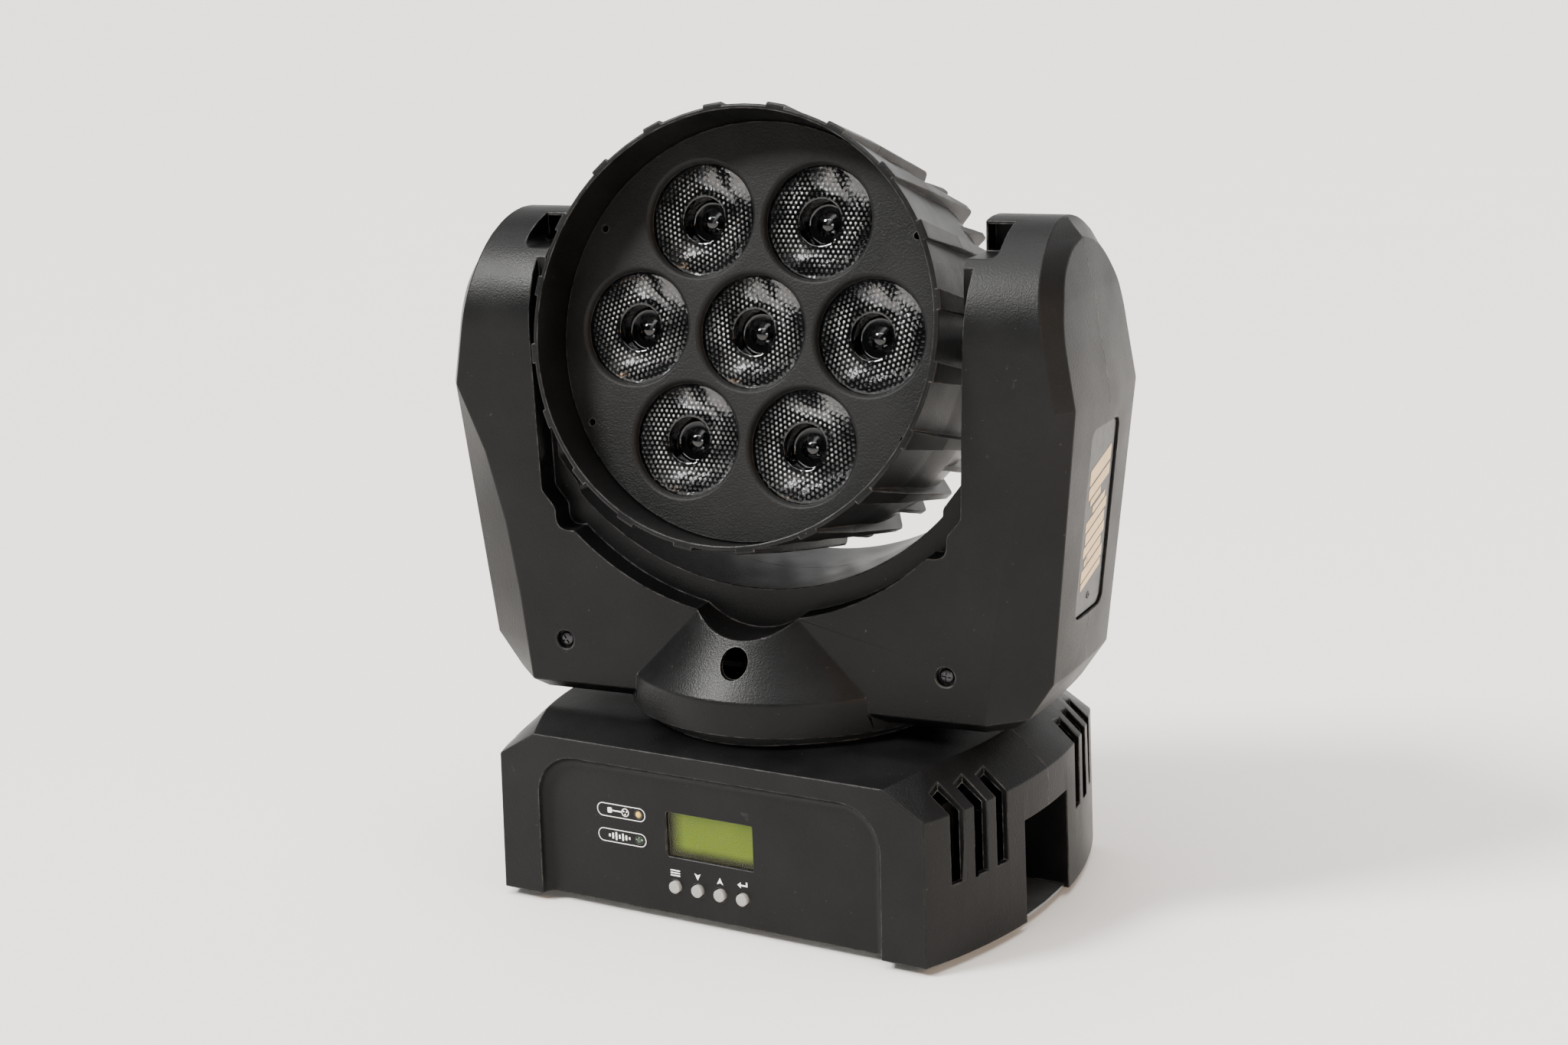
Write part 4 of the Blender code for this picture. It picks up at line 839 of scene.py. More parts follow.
def yoke_solid(inset_side=0.0, inset_front=0.0, fine=True):
    dome = YOKE_HALF_DEPTH - inset_front
    lower = (0.089, 0.0945, 0.1114, 0.1357, 0.1686, 0.2011, 0.232)
    angles = [*range(0, 85, 3), 86.5] if fine else (0, 15, 30, 42, 54, 65, 76, 86)
    heights = [max(z, YOKE_FOOT + inset_front) for z in lower]
    heights += [DOME_HEIGHT + dome * sin(radians(a)) for a in angles]
    bm = shape(loft, [yoke_ring(z, dome, inset_side, inset_front, 8 if fine else 2) for z in heights])
    bmesh.ops.remove_doubles(bm, verts=bm.verts[:], dist=0.000001)
    return bm


def gap_outline(kind, grow=0.0, fine=True):
    centre, radius = WEB_ARC if kind == "web" else LIP_ARC
    side = WEB_SIDE if kind == "web" else LIP_SIDE
    lean = degrees(acos((ARC_END[kind] + grow / 2) / (radius + grow)))
    curve = arc((0, centre), radius + grow, -lean, lean - 180, 60 if fine else 18)
    right = [(x + grow, z - grow / 2) for x, z in side]
    if fine:
        right = rounded_corners(right + [curve[0]], 0.0016)[:-1]
    return right + curve + [(-x, z) for x, z in reversed(right)]


def hub_profile(inset):
    """The hub flares so that its edges on the front face are straight."""
    cone_top = HUB_CONE_TOP if not inset else 0.1225
    foot = HUB_FOOT if not inset else HUB_FOOT - 0.01
    rows = [(HUB_RADIUS + 0.0004 - inset, foot), (HUB_RADIUS + 0.0002 - inset, HUB_BAND_TOP)]
    for z in np.linspace(0.1016, cone_top, 10):
        rows.append((hypot(YOKE_HALF_DEPTH, HUB_EDGE_FOOT - (z - HUB_BAND_TOP) * HUB_EDGE_SLOPE) - inset, z))
    return [(0, foot)] + rows + [(0, cone_top)]


def hub_scoop(grow=0.0):
    """The rounded dip in the top of the hub, front and rear."""
    bm = bmesh.new()
    for end in (-1, 1):
        ys = sorted((end * 0.09, end * (WEB_HALF_DEPTH - grow)))
        prism(bm, "Y", circle(HUB_SCOOP[1] + grow, 96, (0, HUB_SCOOP[0])), *ys)
    return bm


def yoke_hollow():
    """The room inside the cover, which keeps a wall round the gap, the pocket and the screws."""
    web = shape(prism, "Y", gap_outline("web", WALL, False), -0.07, 0.07)
    lip = bmesh.new()
    for end in (-1, 1):
        ys = sorted((end * 0.07, end * (WEB_HALF_DEPTH - WALL)))
        prism(lip, "Y", gap_outline("lip", WALL, False), *ys)
    kept = bmesh.new()
    for side in (-1, 1):
        xs = sorted((side * 0.09, side * (NOTCH_SIDE + WALL)))
        box(kept, (xs[0], -0.07, NOTCH_FLOOR - WALL), (xs[1], 0.001, 0.32))
        prism(kept, "Y", circle(0.0068, 24, (side * SCREW_X, SCREW_HEIGHT)), -0.07, -0.04)
    return carved(
        yoke_solid(0.005, WALL, False), ("cut", web), ("cut", lip), ("cut", kept), ("cut", hub_scoop(WALL))
    )


def arm_face(z):
    """Half width of the lower side face, which slopes, at a height."""
    (low, low_x), (high, high_x) = SIDE_FACE[2], SIDE_FACE[3]
    return low_x + (high_x - low_x) * (z - low) / (high - low)


def badge_rings(side, layers):
    """Rings of a rounded plate in the side face of an arm, from (offset from the face, growth) pairs."""
    rings = []
    for offset, grow in layers:
        outline = rounded_rectangle(
            BADGE_HALF_WIDTH + grow, BADGE_HALF_LENGTH + grow, BADGE_CORNER + grow, 8, (0, BADGE_HEIGHT)
        )
        rings.append([(side * (arm_face(z) + offset), y, z) for y, z in outline])
    return rings


def yoke_holes():
    """Screw recesses, the shaft bores and the badge recesses."""
    bm = bmesh.new()
    face = -YOKE_HALF_DEPTH
    for side in (-1, 1):
        mouth = [(0, face - 0.005), (0.0048, face - 0.005), (0.0048, face - 0.0001), (0.0043, face + 0.0005)]
        seat = [(0.0043, -0.0483), (0.002, -0.0483), (0.002, -0.035), (0, -0.035)]
        turned(bm, "Y", mouth + seat, 48, (side * SCREW_X, SCREW_HEIGHT))
        ends = sorted((side * 0.095, side * 0.106))
        prism(bm, "X", circle(TILT_SHAFT + 0.001, 48, (0, TILT_HEIGHT)), *ends)
        layers = ((-BADGE_DEPTH, GAP), (-0.0006, GAP), (0.0002, 0.0009), (0.01, 0.0009))
        loft(bm, badge_rings(side, layers))
    return bm


def yoke_pockets():
    bm = bmesh.new()
    for side in (-1, 1):
        corner = arc((NOTCH_SIDE - NOTCH_CORNER, NOTCH_FLOOR + NOTCH_CORNER), NOTCH_CORNER, 0, -90, 10)
        outline = [(0.09, NOTCH_FLOOR), (0.09, 0.32), (NOTCH_SIDE, 0.32)] + corner
        prism(bm, "Y", [(side * x, z) for x, z in outline], -0.07, -NOTCH_BACK)
    return bm


def make_yoke_shells():
    lip = bmesh.new()
    for end in (-1, 1):
        prism(lip, "Y", gap_outline("lip"), *sorted((end * 0.09, end * WEB_HALF_DEPTH)))
    rear_pockets = yoke_pockets()
    bmesh.ops.rotate(rear_pockets, verts=rear_pockets.verts[:], matrix=Matrix.Rotation(pi, 3, "Z"))
    solid = carved(
        yoke_solid(),
        ("join", shape(turned, "Z", hub_profile(0), 144)),
        ("cut", shape(prism, "Y", gap_outline("web"), -0.09, 0.09)),
        ("cut", lip),
        ("cut", hub_scoop()),
        ("cut", yoke_pockets()),
        ("cut", rear_pockets),
    )
    solid = softened(solid, 0.0007, 24)
    mould = bpy.data.meshes.new("yoke_mould")
    solid.to_mesh(mould)
    solid.free()
    for name, turn in (("yoke_front_shell", 0.0), ("yoke_rear_shell", pi)):
        whole = bmesh.new()
        whole.from_mesh(mould)
        depths = bmesh.new()
        for side in (-1, 1):
            xs = sorted((side * 0.1012, side * (NOTCH_SIDE - 0.0003)))
            box(depths, (xs[0], -0.016, NOTCH_FLOOR + 0.0004), (xs[1], -0.002, NOTCH_FLOOR + 0.0118))
        hub_mouth = [(0, -0.09), (HUB_HOLE, -0.09), (HUB_HOLE, -0.054), (0, -0.054)]
        skin = carved(
            whole,
            ("cut", yoke_hollow()),
            ("cut", shape(turned, "Z", hub_profile(WALL), 96)),
            ("cut", shape(box, (-0.2, -GAP / 2, 0.05), (0.2, 0.12, 0.35))),
            ("cut", depths),
            ("cut", yoke_holes()),
            ("cut", shape(turned, "Y", hub_mouth, 64, (0, HUB_HOLE_HEIGHT))),
        )
        place = PAN @ Matrix.Rotation(turn, 4, "Z")
        piece(name + "_skin", skin, MAT["shell"], "yoke", place, [name])


def cross_head(radius, depth, height):
    """A domed screw head that faces -Y, with a cross in it."""
    dome = [(radius * sin(a), -height * cos(a) ** 0.6) for a in np.radians(np.linspace(0, 84, 8))]
    dome[0] = (0, dome[0][1])
    bm = shape(turned, "Y", dome + [(radius, 0.0), (radius, 0.0004), (0, 0.0004)], 48)
    cross = bmesh.new()
    box(
        cross,
        (-radius * 0.68, -height - 0.001, -radius * 0.13),
        (radius * 0.68, -height + depth, radius * 0.13),
    )
    upright = shape(
        box,
        (-radius * 0.13, -height - 0.001, -radius * 0.68),
        (radius * 0.13, -height + depth * 1.01, radius * 0.68),
    )
    return carved(bm, ("cut", cross), ("cut", upright))


def make_yoke_trim():
    for end, row in ((-1, "front"), (1, "rear")):
        for side, name in ((1, "right"), (-1, "left")):
            turn = Matrix.Rotation(0.0 if end < 0 else pi, 4, "Z")
            place = PAN @ Matrix.Translation((side * SCREW_X, end * 0.049, SCREW_HEIGHT)) @ turn
            spin = Matrix.Rotation(0.35 * side + 0.2 * end, 4, "Y")
            screw = cross_head(0.0033, 0.0009, 0.0015)
            node_name = f"yoke_screw_{row}_{name}"
            piece(f"{node_name}_head", screw, MAT["screw"], "yoke", place @ spin, [node_name])
    for side, name in ((1, "right"), (-1, "left")):
        back = -BADGE_DEPTH + GAP
        front = back + BADGE_THICKNESS
        layers = ((back, 0.00025), (front - 0.0007, 0.00025), (front - 0.0002, 0.0), (front, -0.0006))
        plate = shape(loft, badge_rings(side, layers))
        piece(f"badge_plate_{name}", plate, MAT["badge"], "yoke", PAN, [f"arm_badge_{name}"])
        blocks = bmesh.new()
        bars = [(0.0226, 0.0034, 0.0, 1.0), (0.0153, 0.0026, 0.0, 1.0), (0.0102, 0.0015, -0.5, 0.5)]
        bars += [(0.0053, 0.0015, 0.4, 0.6), (0.0005, 0.0022, 0.0, 1.0), (-0.0052, 0.0024, -0.1, 0.9)]
        bars += [(-0.0108, 0.0022, 0.0, 1.0), (-0.016, 0.002, 0.3, 0.7), (-0.0166, 0.0014, -0.75, 0.2)]
        bars += [(-0.0216, 0.0025, 0.0, 1.0), (-0.0266, 0.0016, 0.0, 0.95)]
        for rise, half_height, shift, share in bars:
            outline = []
            for u, v in rounded_rectangle(0.0132 * share, half_height, 0.0006, 3):
                y = side * (u + 0.0132 * shift * (1 - share))
                outline.append((y, BADGE_HEIGHT + 0.0012 + rise + v + 0.28 * side * y))
            rings = []
            for offset in (front - 0.0001, front + 0.00015):
                rings.append([(side * (arm_face(z) + offset), y, z) for y, z in outline])
            loft(blocks, rings)
        piece(f"badge_blocks_{name}", blocks, MAT["badge_print"], "yoke", PAN)
        spot_z = BADGE_HEIGHT - 0.0345
        turn = Matrix.Rotation(side * pi / 2, 4, "Z")
        place = PAN @ Matrix.Translation((side * (arm_face(spot_z) + front), 0, spot_z)) @ turn
        piece(f"badge_screw_{name}", cross_head(0.0019, 0.0004, 0.0004), MAT["screw"], "yoke", place)


# ---------------------------------------------------------------- head


def rib_samples(centre, half):
    """Angles across a rib, in degrees, with the share of its height at each."""
    rise = ((0.28, 0.0), (0.0, 0.04), (-0.03, 0.82), (-0.13, 0.95), (-0.36, 1.0))
    left = [(centre - half - offset, share) for offset, share in rise]
    right = [(centre + half + offset, share) for offset, share in reversed(rise)]
    return left + right


def ribbed(outside, inside):
    """A ring with ribs. outside holds (forward, radius, rib radius, rib half width, small rib radius)."""
    bm = bmesh.new()
    rings = []
    for forward, radius, rib_radius, rib_half, small_radius in outside:
        ring = []
        for index in range(FIN_COUNT):
            start = 360 / FIN_COUNT * index
            samples = []
            if small_radius:
                clear = index in (0, FIN_COUNT // 2)
                height = 0.0 if clear else max(small_radius - radius, 0.0)
                half = degrees(0.0015 / radius)
                samples += [(start + a, height * share) for a, share in rib_samples(0, half)]
            else:
                samples.append((start, 0.0))
            samples.append((start + 4.0, 0.0))
            half = degrees(rib_half / radius)
            height = max(rib_radius - radius, 0.0)
            samples += [(start + a, height * share) for a, share in rib_samples(9.0, half)]
            samples.append((start + 14.0, 0.0))
            ring += [(radians(a), radius + h) for a, h in samples]
        rings.append([(r * cos(a), -forward, r * sin(a)) for a, r in ring])
    angles = [atan2(z, x) for x, _, z in rings[0]]
    for radius, forward in inside:
        rings.append([(radius * cos(a), -forward, radius * sin(a)) for a in angles])
    loft(bm, rings, closed=True)
    return bm


def make_bezel():
    outside = []
    for share in np.linspace(0, 1, 5):
        forward = SEAM + share * (0.056 - SEAM)
        radius = 0.0929 + share * 0.0028
        outside.append((forward, radius, 0.0966 + share * 0.0009, 0.0032 + share * 0.0011, 0))
    for forward, trim in (
        (0.0605, 0.0), (0.0609, 0.00012), (0.0612, 0.00034), (0.0614, 0.00066), (RIM_FRONT, 0.0011)
    ):
        outside.append((forward, RIM_RADIUS + 0.0002 - trim, 0.0976 - trim, 0.0044, 0))
    ledge = FACE_FRONT - FACE_THICKNESS - GAP
    inside = [(RIM_INNER + 0.0006, RIM_FRONT), (RIM_INNER + 0.0002, 0.0613), (RIM_INNER, 0.0608)]
    inside += [(0.0934, 0.05), (0.0929, FACE_FRONT + 0.0006), (0.0925, FACE_FRONT), (0.0925, ledge)]
    inside += [(0.0902, ledge), (0.0902, SEAM)]
    piece(
        "head_bezel_skin",
        ribbed(outside, inside),
        MAT["shell"],
        "head",
        HEAD,
        ["head_bezel"],
    )


HOUSING_PROFILE = (  # forward, radius, fin radius, fin half width, small fin radius
    (SEAM - GAP, 0.0926, 0.0966, 0.0032, 0.0001),
    (0.008, 0.0922, 0.0961, 0.003, 0.0001),
    (-0.006, 0.0917, 0.0954, 0.0028, 0.0001),
    (-0.015, 0.0912, 0.0949, 0.0026, 0.0001),
    (-0.0158, 0.0911, 0.0948, 0.0026, 0.0909),
    (-0.019, 0.0907, 0.0947, 0.0025, 0.0912),
    (-0.026, 0.0897, 0.0943, 0.0024, 0.0914),
    (-0.033, 0.0885, 0.094, 0.0022, 0.0916),
    (-0.038, 0.0875, 0.0937, 0.0021, 0.0916),
    (-0.043, 0.0856, 0.0934, 0.002, 0.0917),
    (-0.0452, 0.0845, 0.0932, 0.002, 0.0916),
    (-0.0465, 0.0839, 0.0926, 0.002, 0.0913),
    (-0.0474, 0.0835, 0.0915, 0.002, 0.0906),
    (-0.0482, 0.0831, 0.0898, 0.002, 0.0893),
    (-0.05, 0.0822, 0.0858, 0.002, 0.0858),
    (-0.0513, 0.0815, 0.083, 0.002, 0.083),
    (-0.053, 0.0806, 0.0806, 0.002, 0.0806),
    (-0.056, 0.0784, 0.0, 0.002, 0.0001),
    (-0.059, 0.0755, 0.0, 0.002, 0.0001),
    (-0.0615, 0.0724, 0.0, 0.002, 0.0001),
    (-0.0632, 0.0695, 0.0, 0.002, 0.0001),
    (-0.0639, 0.067, 0.0, 0.002, 0.0001),
    (HOUSING_BACK, 0.065, 0.0, 0.002, 0.0001),
    (HOUSING_BACK, VENT_RADIUS + 0.0004, 0.0, 0.002, 0.0001),
    (HOUSING_BACK + 0.0004, VENT_RADIUS, 0.0, 0.002, 0.0001),
)


def make_housing():
    inside = [(VENT_RADIUS, HOUSING_BACK + WALL), (0.067, HOUSING_BACK + WALL), (0.0776, -0.0524)]
    inside += [(0.0849 - 0.0012, -0.037), (0.0886, -0.015), (0.09, SEAM - GAP)]
    body = ribbed(HOUSING_PROFILE, inside)
    body = carved(body, ("cut", shape(prism, "X", circle(TILT_SHAFT + GAP, 48), -0.11, 0.11)))
    piece("rear_housing_skin", body, MAT["shell"], "head", HEAD, ["rear_housing"])

    guard = bmesh.new()
    back = -HOUSING_BACK - 0.0006
    profile = [(0, back - 0.002), (VENT_RADIUS - GAP, back - 0.002), (VENT_RADIUS - GAP, back - 0.0003)]
    turned(guard, "Y", profile + [(VENT_RADIUS - 0.0007, back), (0, back)], 96)
    slots = bmesh.new()
    for inner, outer in ((0.011, 0.02), (0.023, 0.031), (0.0335, 0.041)):
        for ring_radius in np.arange(inner + 0.0014, outer, 0.0036):
            for third in range(3):
                margin = degrees(0.0015 / ring_radius)
                start, end = 120 * third + margin, 120 * third + 120 - margin
                far, near = min(ring_radius + 0.0013, outer), ring_radius - 0.0013
                outline = arc((0, 0), near, start, end, 20) + arc((0, 0), far, end, start, 20)
                prism(slots, "Y", outline, 0.05, 0.07)
    guard = carved(guard, ("cut", slots))
    piece("rear_guard", guard, MAT["black_sheet"], "head", HEAD, ["rear_grille"])


def lens_centres():
    return [(0.0, 0.0)] + circle(LENS_RING, 6)


def make_face():
    front, back = -FACE_FRONT, -FACE_FRONT + FACE_THICKNESS
    profile = [
        (0, front),
        (FACE_RADIUS - 0.0003, front),
        (FACE_RADIUS, front + 0.0003),
        (FACE_RADIUS, back),
        (0, back),
    ]
    holes = bmesh.new()
    for centre in lens_centres():
        mouth = [(0, front - 0.002), (0.0272, front - 0.002), (0.0272, front), (0.0266, front + 0.00012)]
        mouth += [(0.0259, front + 0.0006), (0.0253, front + 0.0015), (LENS_HOLE, front + 0.0026)]
        turned(holes, "Y", mouth + [(LENS_HOLE, back + 0.002), (0, back + 0.002)], 96, centre)
    for angle in np.radians((30, 150, 210, 330)):
        centre = (FIXING_RING * cos(angle), FIXING_RING * sin(angle))
        turned(
            holes,
            "Y",
            [
                (0, front - 0.001),
                (0.0019, front - 0.001),
                (0.0016, front + 0.0003),
                (0.0016, back + 0.001),
                (0, back + 0.001),
            ],
            24,
            centre,
        )
    plate = carved(shape(turned, "Y", profile, 160), ("cut", holes))
    piece("face_plate_skin", plate, MAT["face"], "head", HEAD, ["face_plate"])


def dome_height(x, z):
    """Height of the pattern of small domes, in rows, over the lens face."""
    row = LENS_PITCH * sqrt(3) / 2
    nearest = min(
        hypot(x - LENS_PITCH * (round(x / LENS_PITCH - shift) + shift), z - row * k)
        for k in (floor(z / row), floor(z / row) + 1)
        for shift in ((k % 2) * 0.5,)
    )
    return 0.00032 * max(0.0, 1 - (nearest / (LENS_PITCH * 0.56)) ** 2)


def stitched(bm, rows, tip):
    """Skin rows of vertices, and close the last row on a point."""
    for first, second in zip(rows, rows[1:]):
        for i in range(len(first)):
            j = (i + 1) % len(first)
            bm.faces.new((first[i], first[j], second[j], second[i]))
    last = rows[-1]
    for i in range(len(last)):
        bm.faces.new((last[i], last[(i + 1) % len(last)], tip))


def lens_shape():
    """A moulded optic: a dotted face with a cup in it, a flange, and sides that curve in to its foot."""
    front = FACE_FRONT - FACE_THICKNESS - GAP
    outer, inner = 0.0246, LENS_CUP + 0.0003
    steps = 96
    rim = circle(outer, steps)
    lip = circle(inner, 48)
    points = [Vector(p) for p in rim + lip]
    edges = [(i, (i + 1) % steps) for i in range(steps)]
    edges += [(steps + i, steps + (i + 1) % 48) for i in range(48)]
    spacing = LENS_PITCH / 3
    for j in range(-36, 37):
        for i in range(-40, 41):
            x = spacing * (i + 0.5 * (j % 2))
            z = spacing * sqrt(3) / 2 * j
            if inner + 0.0003 < hypot(x, z) < outer - 0.0003:
                points.append(Vector((x, z)))
    flat, _, faces, *_ = delaunay_2d_cdt(points, edges, [], 0, 0.00001)
    bm = bmesh.new()
    verts = []
    for x, z in flat:
        radius = hypot(x, z)
        edge = min(1.0, max(0.0, (radius - inner) / 0.0008), max(0.0, (outer - radius) / 0.0008))
        verts.append(bm.verts.new((x, -front - edge * dome_height(x, z), z)))
    for face in faces:
        centre = sum((flat[i] for i in face), Vector((0, 0))) / len(face)
        if centre.length > inner * 0.999:
            bm.faces.new([verts[i] for i in face])
    rows = [[verts[i] for i in range(steps)]]
    side = [(outer + 0.0002, front), (LENS_FLANGE - 0.0002, front), (LENS_FLANGE, front - 0.0002)]
    side += [(LENS_FLANGE, front - 0.0024), (0.0243, front - 0.0024)]
    for share in np.linspace(0.1, 1, 9):
        side.append(
            (0.008 + 0.0163 * (1 - share) ** 0.62, front - 0.0024 - share * (front - 0.0024 - LENS_FOOT))
        )
    side += [
        (0.0052, LENS_FOOT),
        (0.0046, LENS_FOOT + 0.0035),
        (0.0034, LENS_FOOT + 0.0058),
        (0.0018, LENS_FOOT + 0.0068),
    ]
    for radius, forward in side:
        rows.append([bm.verts.new((u, -forward, v)) for u, v in circle(radius, steps)])
    stitched(bm, rows, bm.verts.new((0, -LENS_FOOT - 0.0071, 0)))
    rows = [[verts[steps + i] for i in range(48)]]
    cup = [
        (LENS_CUP, front - 0.0003), (0.0094, front - 0.008), (0.009, front - 0.0087), (0.0082, front - 0.009)
    ]
    cup += [
        (0.0055, front - 0.009), (0.005, front - 0.0084), (0.004, front - 0.0074), (0.0026, front - 0.0066)
    ]
    cup += [(0.0012, front - 0.0062)]
    for radius, forward in cup:
        rows.append([bm.verts.new((u, -forward, v)) for u, v in circle(radius, 48)])
    stitched(bm, rows, bm.verts.new((0, -front + 0.0061, 0)))
    return bm


def make_lenses():
    mould = bpy.data.meshes.new("lens_mould")
    bm = lens_shape()
    bm.to_mesh(mould)
    bm.free()
    for index, (x, z) in enumerate(lens_centres(), 1):
        copy = bmesh.new()
        copy.from_mesh(mould)
        place = HEAD @ Matrix.Translation((x, 0, z)) @ Matrix.Rotation(0.35 * index, 4, "Y")
        piece(
            f"optic_{index}", copy, MAT["optic"], "head", place, [f"lens_{index}"], 50, own=True
        )
        emitter = shape(prism, "Y", rounded_rectangle(0.003, 0.003, 0.0006, 4), -0.0136, -0.0132)
        place = HEAD @ Matrix.Translation((x, 0, z))
        piece(f"emitter_{index}", emitter, MAT["emitter"], "head", place)


# ---------------------------------------------------------------- rear sockets


def panel_socket(name, flange_outline, body_outline, hollow_outline, depth, extra):
    """A socket with softened edges. extra draws what is in its hollow, from a mesh and the middle x."""
    low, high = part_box(name)
    x = (low.x + high.x) / 2
    flange = shape(prism, "Y", moved(flange_outline, x, SOCKET_HEIGHT), SOCKET_FACE, SOCKET_FACE + 0.002)
    body = shape(
        prism, "Y", moved(body_outline, x, SOCKET_HEIGHT), SOCKET_FACE - depth - 0.0038, SOCKET_FACE + 0.001
    )
    hollow = shape(
        prism, "Y", moved(hollow_outline, x, SOCKET_HEIGHT), SOCKET_FACE - depth, SOCKET_FACE + 0.01
    )
    whole = softened(carved(flange, ("join", body), ("cut", hollow)), 0.00035)
    piece(f"{name}_body", whole, MAT["smooth"], "base", BASE, [name])
    inside = bmesh.new()
    extra(inside, x)
    return inside


def make_sockets():
    plate = shape(prism, "Y", socket_plate_outline(GAP), 0.081, 0.0825)
    holes = bmesh.new()
    centres = {}
    for name in ("power_inlet", "fuse_holder", "dmx_in_socket", "dmx_out_socket"):
        low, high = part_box(name)
        centres[name] = (low.x + high.x) / 2
    prism(
        holes,
        "Y",
        rounded_rectangle(0.0139, 0.0102, 0.002, 3, (centres["power_inlet"], SOCKET_HEIGHT)),
        0.07,
        0.1,
    )
    for name, radius in (("fuse_holder", 0.0064), ("dmx_in_socket", 0.012), ("dmx_out_socket", 0.012)):
        prism(holes, "Y", circle(radius, 48, (centres[name], SOCKET_HEIGHT)), 0.07, 0.1)
    plate = softened(carved(plate, ("cut", holes)), 0.0002)
    piece("socket_plate", plate, MAT["black_sheet"], "base", BASE, ["connector_plate"])

    flange = rounded_rectangle(0.013, 0.0155, 0.003, 6)
    pins = [(0.0034 * cos(a), 0.0034 * sin(a)) for a in np.radians((0, 180, 270))]

    def draw_pins(bm, x):
        for u, v in pins:
            profile = [(0, 0.0711), (0.0012, 0.0711), (0.0012, 0.08), (0.0007, 0.0808), (0, 0.081)]
            turned(bm, "Y", profile, 20, (x + u, SOCKET_HEIGHT + v))

    def draw_insert(bm, x):
        profile = [(0, 0.0711), (0.0078, 0.0711), (0.0078, 0.0812), (0.0074, 0.0816), (0, 0.0816)]
        turned(bm, "Y", profile, 48, (x, SOCKET_HEIGHT))

    def draw_blades(bm, x):
        for u, v in ((-0.007, -0.0016), (0.007, -0.0016), (0.0, 0.003)):
            outline = rounded_rectangle(0.001, 0.002, 0.0004, 3, (x + u, SOCKET_HEIGHT + v))
            prism(bm, "Y", outline, 0.0671, 0.08)

    barrel, mouth = circle(0.0117, 64), circle(0.0095, 64)
    inside = panel_socket("dmx_in_socket", flange, barrel, mouth, 0.012, draw_pins)
    piece("dmx_in_pins", inside, MAT["bright"], "base")
    inside = panel_socket("dmx_out_socket", flange, barrel, mouth, 0.012, draw_insert)
    bores = bmesh.new()
    for u, v in pins:
        middle = (centres["dmx_out_socket"] - u, SOCKET_HEIGHT - v)
        turned(
            bores,
            "Y",
            [(0, 0.074), (0.0014, 0.074), (0.0014, 0.0812), (0.0019, 0.0818), (0, 0.0818)],
            20,
            middle,
        )
    piece("dmx_out_insert", carved(inside, ("cut", bores)), MAT["smooth"], "base")
    mains_body, mains_mouth = rounded_rectangle(0.0136, 0.0099, 0.002, 5), rounded_rectangle(
        0.012, 0.008, 0.0015, 5
    )
    mains_flange = rounded_rectangle(0.016, 0.0125, 0.003, 6)
    inside = panel_socket("power_inlet", mains_flange, mains_body, mains_mouth, 0.016, draw_blades)
    piece("power_inlet_blades", inside, MAT["bright"], "base")

    profile = [(0, -0.014), (0.0061, -0.014), (0.0061, 0.0018), (0.0079, 0.0018), (0.0079, 0.0036)]
    profile += [(0.0077, 0.0043), (0.0072, 0.0045), (0, 0.0045)]
    cap = shape(turned, "Y", profile, 64)
    slot_cut = shape(box, (-0.0052, 0.0036, -0.0007), (0.0052, 0.006, 0.0007))
    place = Matrix.Translation((centres["fuse_holder"], 0.081, SOCKET_HEIGHT))
    piece(
        "fuse_cap",
        carved(cap, ("cut", slot_cut)),
        MAT["smooth"],
        "base",
        place,
        ["fuse_holder"],
    )
    half_turn = Matrix.Rotation(pi, 4, "Z")
    for side in (-1, 1):
        for z in (SOCKET_PLATE_LOW + 0.0055, SOCKET_PLATE_HIGH - 0.0055):
            place = Matrix.Translation((side * (SOCKET_PLATE_HALF - 0.0055), 0.0825, z)) @ half_turn
            screw = cross_head(0.0026, 0.0006, 0.0011)
            piece(f"plate_screw_{side}_{round(z * 1000)}", screw, MAT["screw"], "base", place)


# ---------------------------------------------------------------- kept pieces


def make_kept():
    """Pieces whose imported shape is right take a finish."""
    kept = {
        "steel": ["base_bottom_plate"],
        # The yoke frame is black so that the hole in the hub looks dark, a painted shade.
        "black_sheet": ["pan_bridge", "yoke_frame"],
        "bright": [
            "pan_bearing", "tilt_bearing_left", "tilt_bearing_right", "tilt_shaft_left", "tilt_shaft_right"
        ],
        "aluminium": ["power_supply", "pan_pinion", "pan_pulley", "tilt_pinion", "tilt_pulley", "heat_sink"],
        "motor": ["pan_motor", "tilt_motor"],
        "belt": ["pan_belt", "tilt_belt"],
        "board": ["control_board"],
        "led_board": ["led_board"],
        "smooth": ["fan_frame", "fan_rotor"],
    }
    for material, names in kept.items():
        for name in names:
            mesh = frame["nodes"][name].data
            mesh.materials.clear()
            mesh.materials.append(MAT[material])


# ---------------------------------------------------------------- stage


def light(name, kind, location, target, power, colour, **settings):
    data = bpy.data.lights.new(name, kind)
    data.energy = power
    data.color = colour
    for key, value in settings.items():
        setattr(data, key, value)
    made = bpy.data.objects.new(name, data)
    bpy.context.scene.collection.objects.link(made)
    made.location = location
    made.rotation_euler = (Vector(target) - Vector(location)).to_track_quat("-Z", "Y").to_euler()


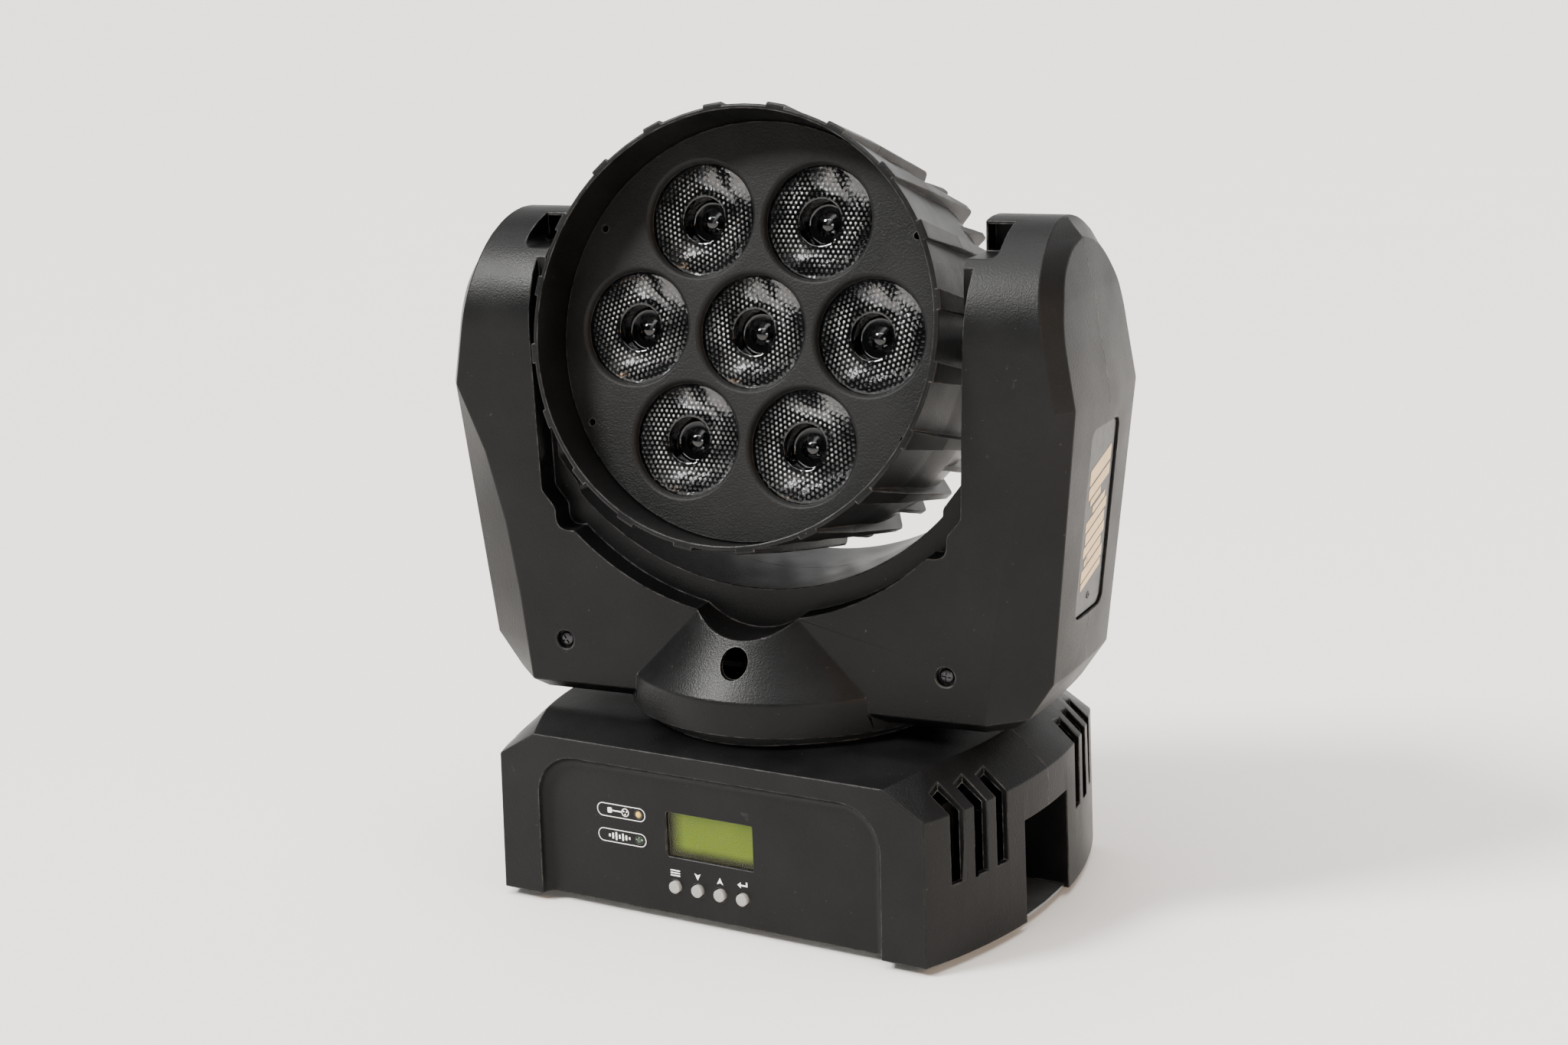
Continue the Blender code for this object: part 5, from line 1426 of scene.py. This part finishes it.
def make_stage():
    floor = object_of("floor", shape(box, (-60, -60, -0.05), (60, 60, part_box("foot_1")[0].z)))
    pale = Finish("pale_floor", Roughness=0.6)
    pale.shade(Base_Color=pale.mixed(pale.noise(3, 3.0), (0.8, 0.775, 0.745), (0.83, 0.805, 0.775)))
    floor.data.materials.append(pale.material)
    middle = (0, 0, 0.2)
    light("key", "SUN", (-1.25, -1.4, 1.95), middle, 6.5, (1.0, 0.99, 0.965), angle=radians(16))
    light("sky", "SUN", (-0.1, -0.3, 2.6), middle, 5.0, (1.0, 0.99, 0.98), angle=radians(62))
    light("side", "AREA", (2.3, -0.5, 1.3), middle, 26, (1.0, 0.66, 0.42), size=0.8)
    light("fill", "AREA", (1.45, -1.75, 0.85), middle, 11, (1.0, 0.99, 0.97), size=0.5)
    world = bpy.data.worlds.new("studio")
    world.use_nodes = True
    sky = Tree(world.node_tree, "Generated")
    toward = sky.node("SeparateXYZ", {"Vector": sky.where}).outputs
    behind = sky.ranged(toward["Y"], 0.1, 0.8, 0.1, 1.1)
    horizon = sky.ranged(toward["Z"], 0.1, 0.18, 1.0, 0.0)
    strength = sky.node("Mix", {0: horizon, 2: behind, 3: 2.1}).outputs[0]
    background = sky.tree.nodes["Background"]
    background.inputs["Color"].default_value = (0.97, 0.96, 0.95, 1)
    sky.put(background.inputs["Strength"], strength)
    bpy.context.scene.world = world


def make_camera():
    azimuth, elevation, roll = radians(30.71), radians(13.37), radians(-1.91)
    distance, aside, height = 1.1483, -0.0042, 0.1651
    right = Vector((cos(azimuth), sin(azimuth), 0))
    ahead = Vector((-sin(azimuth), cos(azimuth), 0)) * cos(elevation)
    ahead.z = -sin(elevation)
    up = right.cross(ahead)
    across = cos(roll) * right + sin(roll) * up
    upward = -sin(roll) * right + cos(roll) * up
    data = bpy.data.cameras.new("camera")
    data.sensor_width = 36
    data.lens = 57.46
    camera = bpy.data.objects.new("camera", data)
    bpy.context.scene.collection.objects.link(camera)
    camera.matrix_world = Matrix((across, upward, -ahead)).transposed().to_4x4()
    camera.location = right * aside + Vector((0, 0, height)) - ahead * distance
    bpy.context.scene.camera = camera


make_base()
make_panel()
make_yoke_shells()
make_yoke_trim()
make_bezel()
make_housing()
make_face()
make_lenses()
make_sockets()
make_kept()
make_stage()
make_camera()
